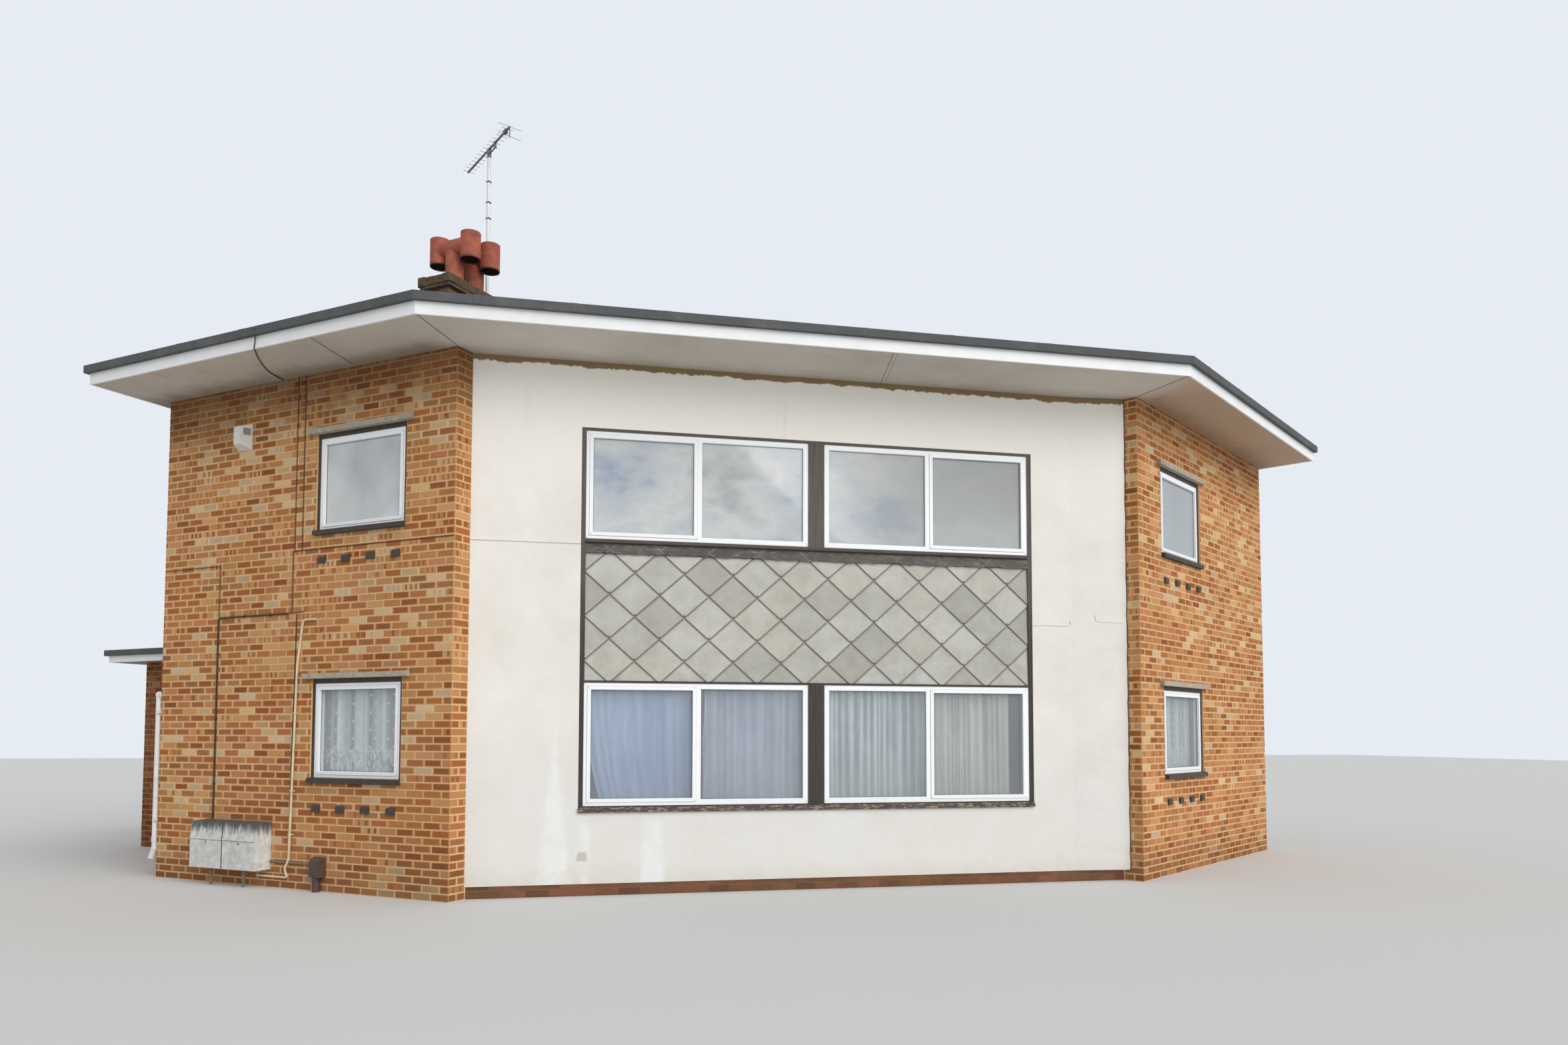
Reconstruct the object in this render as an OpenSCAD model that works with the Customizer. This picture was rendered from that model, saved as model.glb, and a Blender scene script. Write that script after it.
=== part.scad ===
/* [Plan] */
// Width of the canted corner front between its two quoins
cant_w = 7250; // [6700:50:8200]
// Angle that each wing turns back from the corner front
wing_angle = 36.5; // [33:0.5:41]
// Length of each wing wall along its street
wing_len = 4200; // [3800:75:5200]
// Length of each side wall behind the wings
side_len = 6000; // [5400:100:6600]
// Thickness of the brick cavity walls
wall_t = 270; // [250:5:320]
// Thickness of the rendered wall at the corner
corner_wall_t = 250; // [220:5:300]
// Brick return seen at each quoin before the render starts
quoin_return = 215; // [160:5:240]

/* [Heights] */
// Height of the soffit above the foot of the walls
soffit_z = 5360; // [5200:20:5700]
// Height from the ground floor to the first floor
storey_h = 2550; // [2450:10:2600]
// Thickness of the ground floor slab, which lies at the foot of the walls
ground_floor_t = 200; // [150:10:260]
// Thickness of the first floor
first_floor_t = 220; // [180:10:260]
// Height of the brick plinth under the render
plinth_h = 118; // [75:1:225]
// Distance that the plinth stands behind the render
plinth_set = 12; // [5:1:25]

/* [Roof] */
// Overhang of the eaves over the corner front and the back
overhang = 750; // [500:10:900]
// Overhang over the left wing
left_overhang = 782; // [650:2:850]
// Overhang over the right wing
right_overhang = 711; // [650:1:800]
// Overhang over the left side wall
side_overhang = 200; // [150:10:350]
// Thickness of the soffit boards
soffit_t = 10; // [6:1:18]
// Width of the open joint between soffit boards
soffit_joint = 5; // [3:1:10]
// Thickness of the fascia boards
fascia_t = 20; // [15:1:30]
// Height of the fascia boards
fascia_h = 120; // [110:5:180]
// Depth that the fascia hangs below the soffit
fascia_drop = 8; // [4:1:15]
// Height of the felted kerb above the fascia
kerb_h = 80; // [50:5:120]
// Width of the felted kerb
kerb_w = 150; // [110:5:200]
// Distance that the kerb stands out over the fascia
kerb_out = 45; // [25:1:60]
// Thickness of the felt on the roof
felt_t = 12; // [8:1:20]

/* [Wing windows] */
// Distance from the quoin to the middle of a wing window
win_s = 1246; // [1000:10:1500]
// Width of a wing window's white frame
win_w = 1162; // [1000:5:1250]
// Height of a wing window's white frame
win_h = 960; // [850:5:1000]
// Height of the ground floor opening above the foot of the walls
win_z = 1094; // [1000:5:1150]
// Width of the visible face of a wing window's white frame
win_face = 64; // [55:1:85]
// Width of the dark subframe beside the white frame
sub_side = 32; // [20:1:45]
// Height of the dark subframe over the white frame
sub_head = 50; // [25:1:60]
// Depth of the dark subframe
sub_depth = 95; // [70:5:120]
// Distance of the subframe behind the brick face
sub_set = 15; // [5:1:30]
// Thickness of the dark sill
sill_t = 55; // [35:1:60]
// Distance that the sill stands out from the brick face
sill_out = 48; // [30:1:60]
// Depth of a white frame
frame_depth = 60; // [50:1:70]
// Distance of a white frame behind the face of the timber round it
frame_set = 8; // [4:1:15]
// Thickness of a sealed pane
glass_t = 20; // [14:1:28]
// Length of the concrete hood over a window
hood_len = 1420; // [1300:10:1500]
// Thickness of the concrete hood
hood_t = 53; // [45:1:65]
// Distance that the hood stands out from the brick face
hood_out = 50; // [30:1:80]
// Depth of the hood built into the wall
hood_in = 100; // [80:5:110]

/* [Corner window] */
// Width of the timber at each end of the corner window
jamb_w = 46; // [30:1:60]
// Height of the foot of that opening
corner_open_z = 817; // [700:1:900]
// Width of each two-light window at the corner
pair_w = 2297; // [2100:1:2320]
// Width of the timber mullion between the two windows
mullion_w = 173; // [120:1:200]
// Height of the lower windows
lower_h = 1229; // [1100:1:1300]
// Height of the slated panel between the storeys
spandrel_h = 1392; // [1200:1:1450]
// Height of the upper windows
upper_h = 1098; // [1000:1:1120]
// Thickness of the lower timber sill
corner_sill_t = 53; // [40:1:70]
// Thickness of the timber rail on that sill
bottom_rail = 11; // [8:1:20]
// Thickness of the timber rail over the lower windows
mid_rail = 20; // [12:1:30]
// Thickness of the timber sill under the upper windows
transom_t = 40; // [30:1:55]
// Thickness of the timber head
head_t = 28; // [20:1:40]
// Depth of the timber frame
timber_depth = 100; // [85:5:120]
// Distance of the timber frame behind the render
timber_set = 12; // [5:1:30]
// Distance that the timber sills stand out from the render
corner_sill_out = 25; // [15:1:40]
// Face width of the opening light's frame
light_face = 69; // [55:1:80]
// Face width of the fixed light's frame
fixed_face = 54; // [45:1:65]
// Width of the white mullion between two lights
light_mullion = 84; // [70:1:100]
// Width of the glass in an opening light
open_light_w = 1022; // [900:1:1060]
// Distance that an opening light stands out from its frame
sash_out = 8; // [4:1:12]
// Depth of the stud panel behind the slates
spandrel_t = 150; // [120:5:180]
// Distance of the slates' backing behind the face of the timber
slate_set = 30; // [20:1:40]
// Height of the lead flashing over the slates
flashing_h = 118; // [90:1:150]
// Thickness of the lead flashing
flashing_t = 4; // [3:1:6]

/* [Curtains and vents] */
// Thickness of a curtain or blind
curtain_t = 25; // [15:1:35]
// Distance of the curtains behind the timber or subframe
curtain_gap = 28; // [20:1:40]
// Clearance over and beside a curtain
curtain_clear = 0.3; // [0.2:0.1:0.5]
// Length of a curtain above the sill that stays open
curtain_foot = 25; // [10:5:60]
// Width of a vent cap under a wing window
vent_w = 105; // [90:1:120]
// Height of a vent cap
vent_h = 75; // [65:1:90]
// Distance that a vent cap stands out from the bricks
vent_out = 24; // [15:1:40]
// Distance between the middles of two vent caps
vent_pitch = 337.5; // [300:0.5:380]
// Drop from the foot of a wing window's opening to the middle of the vents
vent_drop = 256; // [220:1:320]

/* [Chimney] */
// Distance of the chimney from the quoin along the left wing
stack_s = 1467; // [1000:1:2200]
// Distance of the chimney behind the left wing's face
stack_d = 1442; // [1300:1:2600]
// Width of the brick stack
stack_w = 330; // [320:5:560]
// Length of the brick stack
stack_l = 880; // [860:5:1200]
// Height of the brick stack above the roof
stack_h = 1306; // [900:2:1800]
// Thickness of the cap on the stack
cap_t = 140; // [90:5:180]
// Distance that the cap stands out round the stack
cap_out = 80; // [60:5:100]
// Diameter of a pot's upright arms
pot_d = 234; // [200:2:240]
// Height of a pot's upright arms
pot_arm_h = 324; // [280:2:380]
// Distance between the middles of a pot's arms
pot_span = 468; // [420:2:500]
// Height of the foot of a pot's arms above the cap
pot_lift = 276; // [220:2:340]
// Thickness of a pot's wall
pot_wall = 18; // [14:1:24]
// Diameter of the aerial mast
mast_d = 45; // [30:1:55]
// Height of the mast above the cap
mast_up = 1980; // [1200:20:2400]
// Length of the aerial's boom
boom_l = 1340; // [900:20:1600]

/* [Side store] */
// Distance of the side store behind the left wing's face
store_d = 1970; // [1700:10:2400]
// Width of the side store
store_w = 3210; // [2700:10:3600]
// Depth of the side store
store_l = 2300; // [2100:50:2800]
// Thickness of the side store's walls
store_wall = 215; // [150:5:230]
// Height of the side store's walls
store_h = 2600; // [2450:10:2800]
// Overhang of the side store's roof
store_over = 330; // [200:10:400]
// Height of the side store's fascia
store_fascia_h = 90; // [70:5:130]
// Width of the store's door
door_w = 900; // [760:10:960]
// Height of the store's door
door_h = 2030; // [1950:10:2100]
// Thickness of the door
door_t = 44; // [35:1:54]
// Distance from the side wall to the near edge of the door frame
door_s = 900; // [500:50:1300]
// Width of the door frame's face
door_frame = 50; // [35:1:70]

/* [Services] */
// Width of one meter box
meter_w = 490; // [420:5:560]
// Height of a meter box at the wall
meter_h = 490; // [440:5:560]
// Depth of a meter box
meter_d = 200; // [160:5:260]
// Height of the boxes' foot above the ground
meter_z = 185; // [120:5:240]
// Diameter of the thick brown pipe
brown_pipe_d = 24; // [18:1:30]
// Diameter of the surface cables
cable_d = 11; // [8:1:16]
// Diameter of the cream pipe
cream_pipe_d = 24; // [18:1:30]
// Diameter of the white downpipe
downpipe_d = 68; // [60:1:80]
// Height of the top of the downpipe
downpipe_top = 2060; // [1600:20:2300]

/* [Hidden] */
$fn = 32;
over = 1;

// Plan corners, counter-clockwise from the left quoin
wing_dir = [-cos(wing_angle), sin(wing_angle)];
wing_out = [-sin(wing_angle), -cos(wing_angle)];
plan_depth = wing_len * wing_dir.y - side_len * wing_out.y;
quoin_y = -plan_depth / 2;
left_quoin = [-cant_w / 2, quoin_y];
left_end = left_quoin + wing_len * wing_dir;
left_back = left_end - side_len * wing_out;
function across(p) = [-p.x, p.y];
OUTLINE = [left_quoin, across(left_quoin), across(left_end), across(left_back), left_back, left_end];
back_w = -2 * left_back.x;

function unit(v) = v / norm(v);
function cross2(u, v) = u.x * v.y - u.y * v.x;
function meet(p, d, q, e) = p + d * cross2(q - p, e) / cross2(d, e);
function edge_dir(i) = unit(OUTLINE[(i + 1) % 6] - OUTLINE[i]);
function edge_out(i) = [edge_dir(i).y, -edge_dir(i).x];
function pushed_corner(i, o) =
    let (j = (i + 5) % 6)
    meet(OUTLINE[i] + o[j] * edge_out(j), edge_dir(j), OUTLINE[i] + o[i] * edge_out(i), edge_dir(i));
function pushed(o) = [for (i = [0:5]) pushed_corner(i, o)];
function plus(v, k) = [for (x = v) x + k];

// Wall lines: the render stands behind the line of the quoins
render_set = quoin_return * cos(wing_angle);
render_y = quoin_y + render_set;
cant_inset = render_set + corner_wall_t;
INNER = pushed([-cant_inset, -wall_t, -wall_t, -wall_t, -wall_t, -wall_t]);
wing_inner_quoin = left_quoin - wall_t * wing_out;
render_corner = left_quoin - quoin_return * wing_out;

// Levels
deck_z = soffit_z + soffit_t;
fascia_z = soffit_z - fascia_drop;
kerb_z = fascia_z + fascia_h;
felt_z = kerb_z + felt_t;
first_floor_top = ground_floor_t + storey_h;

// Eaves lines in the order of the plan's edges
party_overhang = fascia_t;
EAVES = [overhang, right_overhang, party_overhang, overhang, side_overhang, left_overhang];
FASCIA_IN = pushed(plus(EAVES, -fascia_t));
FASCIA_OUT = pushed(EAVES);
KERB_OUT = pushed(plus(EAVES, kerb_out));
KERB_IN = pushed(plus(EAVES, kerb_out - kerb_w));

// Window openings
corner_open_w = 2 * (pair_w + jamb_w) + mullion_w;
open_w = win_w + 2 * sub_side;
open_h = sill_t + win_h + sub_head;
STOREYS = [win_z, win_z + storey_h];
corner_open_h = corner_sill_t + bottom_rail + lower_h + mid_rail + spandrel_h + transom_t + upper_h + head_t;
timber_y = render_y + timber_set;
lower_z = corner_open_z + corner_sill_t + bottom_rail;
spandrel_z = lower_z + lower_h + mid_rail;
transom_z = spandrel_z + spandrel_h;
upper_z = transom_z + transom_t;
side_win_s = store_d + store_l / 2;

module at_wing(side) {
    mirror([side == "right" ? 1 : 0, 0, 0])
        translate([left_quoin.x, left_quoin.y, 0])
            rotate([0, 0, 180 - wing_angle])
                children();
}

module at_edge(i) {
    p = OUTLINE[(i + 1) % 6];
    d = -edge_dir(i);
    translate([p.x, p.y, 0])
        rotate([0, 0, atan2(d.y, d.x)])
            children();
}

module at_wing_windows(side) {
    at_wing(side)
        for (z = STOREYS)
            translate([win_s, 0, z])
                children();
}

module at_back_windows() {
    at_edge(3)
        for (x = [back_w / 4, back_w * 3 / 4], z = STOREYS)
            translate([x, 0, z])
                children();
}

module at_side_window() {
    at_edge(4)
        translate([side_win_s, 0, STOREYS[1]])
            children();
}

module at_rear_windows() {
    at_back_windows() children();
    at_side_window() children();
}

module at_all_windows() {
    at_wing_windows("left") children();
    at_wing_windows("right") children();
    at_rear_windows() children();
}

module slab(points, z, h) {
    translate([0, 0, z])
        linear_extrude(height = h)
            polygon(points);
}

module ring(outer, inner, z, h) {
    translate([0, 0, z])
        linear_extrude(height = h)
            difference() {
                polygon(outer);
                polygon(inner);
            }
}

module box(x0, x1, y0, y1, z0, z1) {
    translate([x0, y0, z0])
        cube([x1 - x0, y1 - y0, z1 - z0]);
}

// A round bar from one point to another
module bar(a, b, d) {
    v = b - a;
    translate(a)
        rotate([0, acos(v.z / norm(v)), atan2(v.y, v.x)])
            cylinder(h = norm(v), d = d);
}

// A pipe through a list of points, with a round fitting at each bend
module run(points, d) {
    for (i = [0:len(points) - 2])
        bar(points[i], points[i + 1], d);
    for (i = [1:len(points) - 2])
        translate(points[i])
            sphere(d = d * 1.2);
}

module ground_floor() {
    color("#8d8a84") slab(INNER, 0, ground_floor_t);
}

module first_floor() {
    color("#a08a6c") slab(INNER, first_floor_top - first_floor_t, first_floor_t);
}

// What a wing or rear window takes out of its wall, the hood's seat included
module window_cut() {
    box(-open_w / 2, open_w / 2, -wall_t - over, over, 0, open_h);
    box(-hood_len / 2, hood_len / 2, -hood_in, over, open_h, open_h + hood_t);
}

module wing_wall(side) {
    color("#b98354")
        difference() {
            at_wing(side) box(0, wing_len, -wall_t, 0, 0, deck_z);
            at_wing_windows(side) window_cut();
        }
}

module left_wing_wall() {
    wing_wall("left");
}

module right_wing_wall() {
    wing_wall("right");
}

// Plan of the rendered wall, keyed behind the two quoins
function corner_plan(set) =
    let (back = INNER[0],
         face = meet(left_quoin, wing_out, [0, render_y + set], [1, 0]))
    [face, across(face), across(wing_inner_quoin), across(back), back, wing_inner_quoin];

module corner_wall() {
    color("#e4e0d6")
        difference() {
            slab(corner_plan(0), plinth_h, deck_z - plinth_h);
            box(-corner_open_w / 2, corner_open_w / 2, render_y - over, render_y + corner_wall_t + over,
                corner_open_z, corner_open_z + corner_open_h);
        }
}

module corner_plinth() {
    color("#8a4d38") slab(corner_plan(plinth_set), 0, plinth_h);
}

module left_side_wall() {
    start = left_end - wall_t * wing_out;
    color("#b98354")
        difference() {
            slab([start, INNER[5], INNER[4], left_back], 0, deck_z);
            at_side_window() window_cut();
        }
}

module right_party_wall() {
    start = left_end - wall_t * wing_out;
    color("#b98354")
        slab([across(start), across(INNER[5]), across(INNER[4]), across(left_back)], 0, deck_z);
}

module back_wall() {
    color("#b98354")
        difference() {
            slab([OUTLINE[3], OUTLINE[4], INNER[4], INNER[3]], 0, deck_z);
            at_back_windows() window_cut();
        }
}

module roof_deck() {
    color("#9a8f80") slab(FASCIA_IN, deck_z, kerb_z - deck_z);
}

// The joint between two soffit boards, from the outer corner to the wall
module soffit_cut(a, b) {
    d = unit(b - a);
    side = [-d.y, d.x] * soffit_joint / 2;
    slab([a - d * over - side, b + d * over - side, b + d * over + side, a - d * over + side],
         soffit_z - over, soffit_t + 2 * over);
}

module soffit_boards() {
    wall_line = [left_quoin, across(left_quoin)];
    color("#cfc9bd")
        difference() {
            union() {
                slab([FASCIA_IN[0], FASCIA_IN[1], across(left_quoin), across(render_corner),
                      render_corner, left_quoin], soffit_z, soffit_t);
                for (i = [1, 3, 4, 5])
                    slab([FASCIA_IN[i], FASCIA_IN[(i + 1) % 6], OUTLINE[(i + 1) % 6], OUTLINE[i]],
                         soffit_z, soffit_t);
            }
            for (i = [0, 1, 4, 5])
                soffit_cut(FASCIA_IN[i], OUTLINE[i]);
        }
}

module fascia_boards() {
    color("#f1f1f0") ring(FASCIA_OUT, FASCIA_IN, fascia_z, fascia_h);
}

module felt_roof() {
    color("#4a4b4c") {
        ring(KERB_OUT, KERB_IN, kerb_z, kerb_h);
        slab(KERB_IN, kerb_z, felt_t);
    }
}

// The dark timber frame of the corner window, in one piece
module corner_frame() {
    half = mullion_w / 2;
    y0 = timber_y - over;
    y1 = timber_y + timber_depth + over;
    color("#4b443e")
        difference() {
            box(-corner_open_w / 2, corner_open_w / 2, timber_y, timber_y + timber_depth,
                corner_open_z + corner_sill_t, corner_open_z + corner_open_h);
            for (x = [-half - pair_w, half]) {
                box(x, x + pair_w, y0, y1, lower_z, lower_z + lower_h);
                box(x, x + pair_w, y0, y1, upper_z, upper_z + upper_h);
            }
            box(-half - pair_w, half + pair_w, y0, y1, spandrel_z, transom_z + transom_t / 2);
        }
}

// A timber sill with a weathered top, drawn in section and run along the opening
module sill_bar(x0, x1, y_face, y_back, z0, t, out, fall) {
    translate([x0, 0, 0])
        rotate([90, 0, 90])
            linear_extrude(height = x1 - x0)
                polygon([[y_face - out, z0], [y_back, z0], [y_back, z0 + t], [y_face, z0 + t],
                         [y_face - out, z0 + t - fall]]);
}

module corner_sills() {
    fall = 8;
    half = corner_open_w / 2;
    inner_half = mullion_w / 2 + pair_w;
    color("#463f39") {
        sill_bar(-half, half, render_y, timber_y + timber_depth, corner_open_z, corner_sill_t,
                 corner_sill_out, fall);
        sill_bar(-inner_half, inner_half, timber_y, timber_y + timber_depth, transom_z, transom_t / 2,
                 corner_sill_out, fall);
    }
}

// A white two-light window: an opening light on the outer side and a fixed light beside it
module two_light(h) {
    fixed_w = pair_w - light_face - open_light_w - light_mullion - fixed_face;
    fixed_x = light_face + open_light_w + light_mullion;
    difference() {
        union() {
            box(0, pair_w, 0, frame_depth, 0, h);
            box(light_face / 2, light_face + open_light_w + light_face / 2, -sash_out, 0,
                light_face / 2, h - light_face / 2);
        }
        box(light_face, light_face + open_light_w, -sash_out - over, frame_depth + over,
            light_face, h - light_face);
        box(fixed_x, fixed_x + fixed_w, -over, frame_depth + over, fixed_face, h - fixed_face);
    }
}

module two_light_glass(h) {
    fixed_w = pair_w - light_face - open_light_w - light_mullion - fixed_face;
    fixed_x = light_face + open_light_w + light_mullion;
    mid = (frame_depth - glass_t) / 2;
    box(light_face, light_face + open_light_w, mid, mid + glass_t, light_face, h - light_face);
    box(fixed_x, fixed_x + fixed_w, mid, mid + glass_t, fixed_face, h - fixed_face);
}

// Places a left-hand two-light window, or its mirror image on the right
module at_corner_window(side, z) {
    mirror([side == "right" ? 1 : 0, 0, 0])
        translate([-mullion_w / 2 - pair_w, timber_y + frame_set, z])
            children();
}

module upper_left_window() {
    color("white") at_corner_window("left", upper_z) two_light(upper_h);
}

module upper_right_window() {
    color("white") at_corner_window("right", upper_z) two_light(upper_h);
}

module lower_left_window() {
    color("white") at_corner_window("left", lower_z) two_light(lower_h);
}

module lower_right_window() {
    color("white") at_corner_window("right", lower_z) two_light(lower_h);
}

module upper_corner_glass() {
    color("#a9b6c0")
        for (side = ["left", "right"])
            at_corner_window(side, upper_z) two_light_glass(upper_h);
}

module lower_corner_glass() {
    color("#a9b6c0")
        for (side = ["left", "right"])
            at_corner_window(side, lower_z) two_light_glass(lower_h);
}

// The stud panel that carries the slates
module slate_panel() {
    half = mullion_w / 2 + pair_w;
    y0 = timber_y + slate_set;
    color("#9b9a94") box(-half, half, y0, y0 + spandrel_t, spandrel_z, transom_z);
}

module lead_flashing() {
    half = mullion_w / 2 + pair_w;
    color("#5d6063")
        box(-half, half, timber_y + flashing_t, timber_y + 2 * flashing_t, transom_z - flashing_h, transom_z);
}

module window_hoods() {
    color("#8f8c85")
        at_all_windows()
            box(-hood_len / 2, hood_len / 2, -hood_in, hood_out, open_h, open_h + hood_t);
}

module window_sills() {
    fall = 8;
    color("#3f3c3a")
        at_all_windows()
            translate([-open_w / 2, 0, 0])
                rotate([90, 0, 90])
                    linear_extrude(height = open_w)
                        polygon([[-sub_set - sub_depth, 0], [sill_out, 0], [sill_out, sill_t - fall],
                                 [0, sill_t], [-sub_set - sub_depth, sill_t]]);
}

module window_subframes() {
    color("#3f3c3a")
        at_all_windows()
            difference() {
                box(-open_w / 2, open_w / 2, -sub_set - sub_depth, -sub_set, sill_t, open_h);
                box(-win_w / 2, win_w / 2, -sub_set - sub_depth - over, over, sill_t - over, sill_t + win_h);
            }
}

// A white casement: outer frame with the glass left out
module casement() {
    y1 = -sub_set - frame_set;
    y0 = y1 - frame_depth;
    difference() {
        union() {
            box(-win_w / 2, win_w / 2, y0, y1, sill_t, sill_t + win_h);
            box(-win_w / 2 + win_face / 2, win_w / 2 - win_face / 2, y1, y1 + sash_out,
                sill_t + win_face / 2, sill_t + win_h - win_face / 2);
        }
        box(-win_w / 2 + win_face, win_w / 2 - win_face, y0 - over, y1 + sash_out + over,
            sill_t + win_face, sill_t + win_h - win_face);
    }
}

module casement_glass() {
    y1 = -sub_set - frame_set - (frame_depth - glass_t) / 2;
    box(-win_w / 2 + win_face, win_w / 2 - win_face, y1 - glass_t, y1,
        sill_t + win_face, sill_t + win_h - win_face);
}

module left_wing_windows() {
    color("white") at_wing_windows("left") casement();
}

module right_wing_windows() {
    color("white") at_wing_windows("right") casement();
}

module rear_windows() {
    color("white") at_rear_windows() casement();
}

module wing_glass() {
    color("#a9b6c0") {
        at_wing_windows("left") casement_glass();
        at_wing_windows("right") casement_glass();
    }
}

module rear_glass() {
    color("#a9b6c0") at_rear_windows() casement_glass();
}

// Net curtains behind the lower corner windows, hung under the slated panel
module corner_curtains() {
    y0 = timber_y + timber_depth + curtain_gap;
    color("#c9d2de")
        for (side = ["left", "right"])
            mirror([side == "right" ? 1 : 0, 0, 0])
                box(-mullion_w / 2 - pair_w + curtain_clear, -mullion_w / 2,
                    y0, y0 + curtain_t, lower_z + curtain_foot, spandrel_z - curtain_clear);
}

// Blinds behind the upper corner windows, hung under the head of the opening
module corner_blinds() {
    y0 = timber_y + timber_depth + curtain_gap;
    color("#dcdcd6")
        for (side = ["left", "right"])
            mirror([side == "right" ? 1 : 0, 0, 0])
                box(-mullion_w / 2 - pair_w + curtain_clear, -mullion_w / 2,
                    y0, y0 + curtain_t, upper_z + curtain_foot,
                    corner_open_z + corner_open_h - curtain_clear);
}

// Net curtains in the lower wing windows, hung under the head of each opening
module wing_curtains() {
    y1 = -sub_set - sub_depth - curtain_gap;
    color("#d3d6d0")
        for (side = ["left", "right"])
            at_wing(side)
                translate([win_s, 0, STOREYS[0]])
                    box(-open_w / 2 + curtain_clear, open_w / 2 - curtain_clear, y1 - curtain_t, y1,
                        sill_t + curtain_foot, open_h - curtain_clear);
}

// Four small caps under each wing window, each with a sloping top
module vent_caps(side) {
    slope = vent_h / 4;
    color("#4c4c4c")
        at_wing_windows(side)
            for (i = [-1.5:1:1.5])
                translate([i * vent_pitch - vent_w / 2, 0, -vent_drop - vent_h / 2])
                    rotate([90, 0, 90])
                        linear_extrude(height = vent_w)
                            polygon([[0, 0], [vent_out, 0], [vent_out, vent_h - slope], [0, vent_h]]);
}

module left_vent_caps() {
    vent_caps("left");
}

module right_vent_caps() {
    vent_caps("right");
}

// Chimney, square to the left wing
module at_chimney(z) {
    at_wing("left")
        translate([stack_s, -stack_d, z])
            children();
}

module chimney_stack() {
    color("#7d5a41") at_chimney(felt_z) box(0, stack_w, -stack_l, 0, 0, stack_h);
}

module chimney_cap() {
    color("#6f675c")
        at_chimney(felt_z + stack_h)
            box(-cap_out, stack_w + cap_out, -stack_l - cap_out, cap_out, 0, cap_t);
}

// A clay pot whose head is a letter H: two open upright arms on one cross tube
module h_pot() {
    stem_d = pot_d * 0.94;
    cross_d = pot_d * 0.98;
    cross_z = pot_lift + pot_arm_h - 36 - cross_d / 2;
    difference() {
        union() {
            cylinder(h = cross_z, d = stem_d);
            translate([-pot_span / 2, 0, cross_z])
                rotate([0, 90, 0])
                    cylinder(h = pot_span, d = cross_d);
            for (x = [-pot_span / 2, pot_span / 2])
                translate([x, 0, pot_lift])
                    cylinder(h = pot_arm_h, d = pot_d);
        }
        for (x = [-pot_span / 2, pot_span / 2])
            translate([x, 0, pot_lift - over])
                cylinder(h = pot_arm_h + 2 * over, d = pot_d - 2 * pot_wall);
    }
}

module chimney_pots() {
    color("#b5634a")
        at_chimney(felt_z + stack_h + cap_t)
            for (share = [0.31, 0.7])
                translate([stack_w / 2, -stack_l * share, 0]) h_pot();
}

mast_s = stack_w - 35;
mast_y = -stack_l - cap_out - mast_d / 2 - 8;
mast_foot = stack_h * 0.55;
mast_top = stack_h + cap_t + mast_up;

// The mast and the two brackets that hold it to the back of the stack
module aerial_mast() {
    strap_h = 30;
    color("#b9bdc0")
        at_chimney(felt_z) {
            translate([mast_s, mast_y, mast_foot])
                cylinder(h = mast_top - mast_foot, d = mast_d);
            for (z = [stack_h * 0.62, stack_h * 0.88])
                box(mast_s - mast_d * 1.4, mast_s + mast_d / 2 + 4, mast_y, -stack_l, z, z + strap_h);
        }
}

// A level boom with short rods, held over the mast head by a clamp and a lower arm
module aerial() {
    boom_d = 18;
    rod_d = 5;
    rod_l = 150;
    rods = 14;
    boom_turn = 153;
    boom_tail = boom_l * 0.53;
    boom_end = boom_l - boom_tail;
    dipole_at = boom_l * 0.37;
    link_at = boom_l * 0.14;
    arm_d = 12;
    lift = 105;
    drop = 60;
    color("#6b6f73")
        at_chimney(felt_z)
            translate([mast_s, mast_y, mast_top])
                rotate([0, 0, boom_turn]) {
                    box(-boom_tail, boom_end, -boom_d / 2, boom_d / 2, lift, lift + boom_d);
                    box(-26, 26, -20, 20, 0, lift + boom_d / 2);
                    box(0, link_at + arm_d, -arm_d / 2, arm_d / 2, lift - drop, lift - drop + arm_d);
                    box(link_at - arm_d, link_at + arm_d, -boom_d * 0.8, boom_d * 0.8,
                        lift - drop, lift + boom_d * 1.5);
                    box(dipole_at - 34, dipole_at + 34, -boom_d, boom_d, lift - boom_d, lift + boom_d * 1.6);
                    box(boom_end - arm_d, boom_end, -arm_d / 2, arm_d / 2, lift - 2 * drop, lift + boom_d);
                    for (z = [lift - 2 * drop + arm_d / 2, lift + boom_d / 2])
                        translate([boom_end - arm_d / 2, rod_l, z])
                            rotate([90, 0, 0])
                                cylinder(h = 2 * rod_l, d = rod_d);
                    for (i = [0:rods - 1])
                        translate([-boom_tail + boom_l * (i + 0.3) / rods, rod_l / 2, lift + boom_d / 2])
                            rotate([90, 0, 0])
                                cylinder(h = rod_l, d = rod_d);
                }
}

// The side store, in the left wing's own directions beyond its end
store_x0 = wing_len;
store_x1 = wing_len + store_w;
store_y0 = -store_d - store_l;
store_y1 = -store_d;
store_kerb_z = store_h - fascia_drop + store_fascia_h;
door_x0 = store_x0 + door_s;
door_x1 = door_x0 + door_w + 2 * door_frame;

module store_walls() {
    color("#b98354")
        at_wing("left")
            difference() {
                box(store_x0, store_x1, store_y0, store_y1, 0, store_h + soffit_t);
                box(store_x0 - over, store_x1 - store_wall, store_y0 + store_wall, store_y1 - store_wall,
                    -over, store_h + soffit_t + over);
                box(door_x0, door_x1, store_y1 - store_wall - over, store_y1 + over,
                    -over, door_h + door_frame);
            }
}

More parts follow.
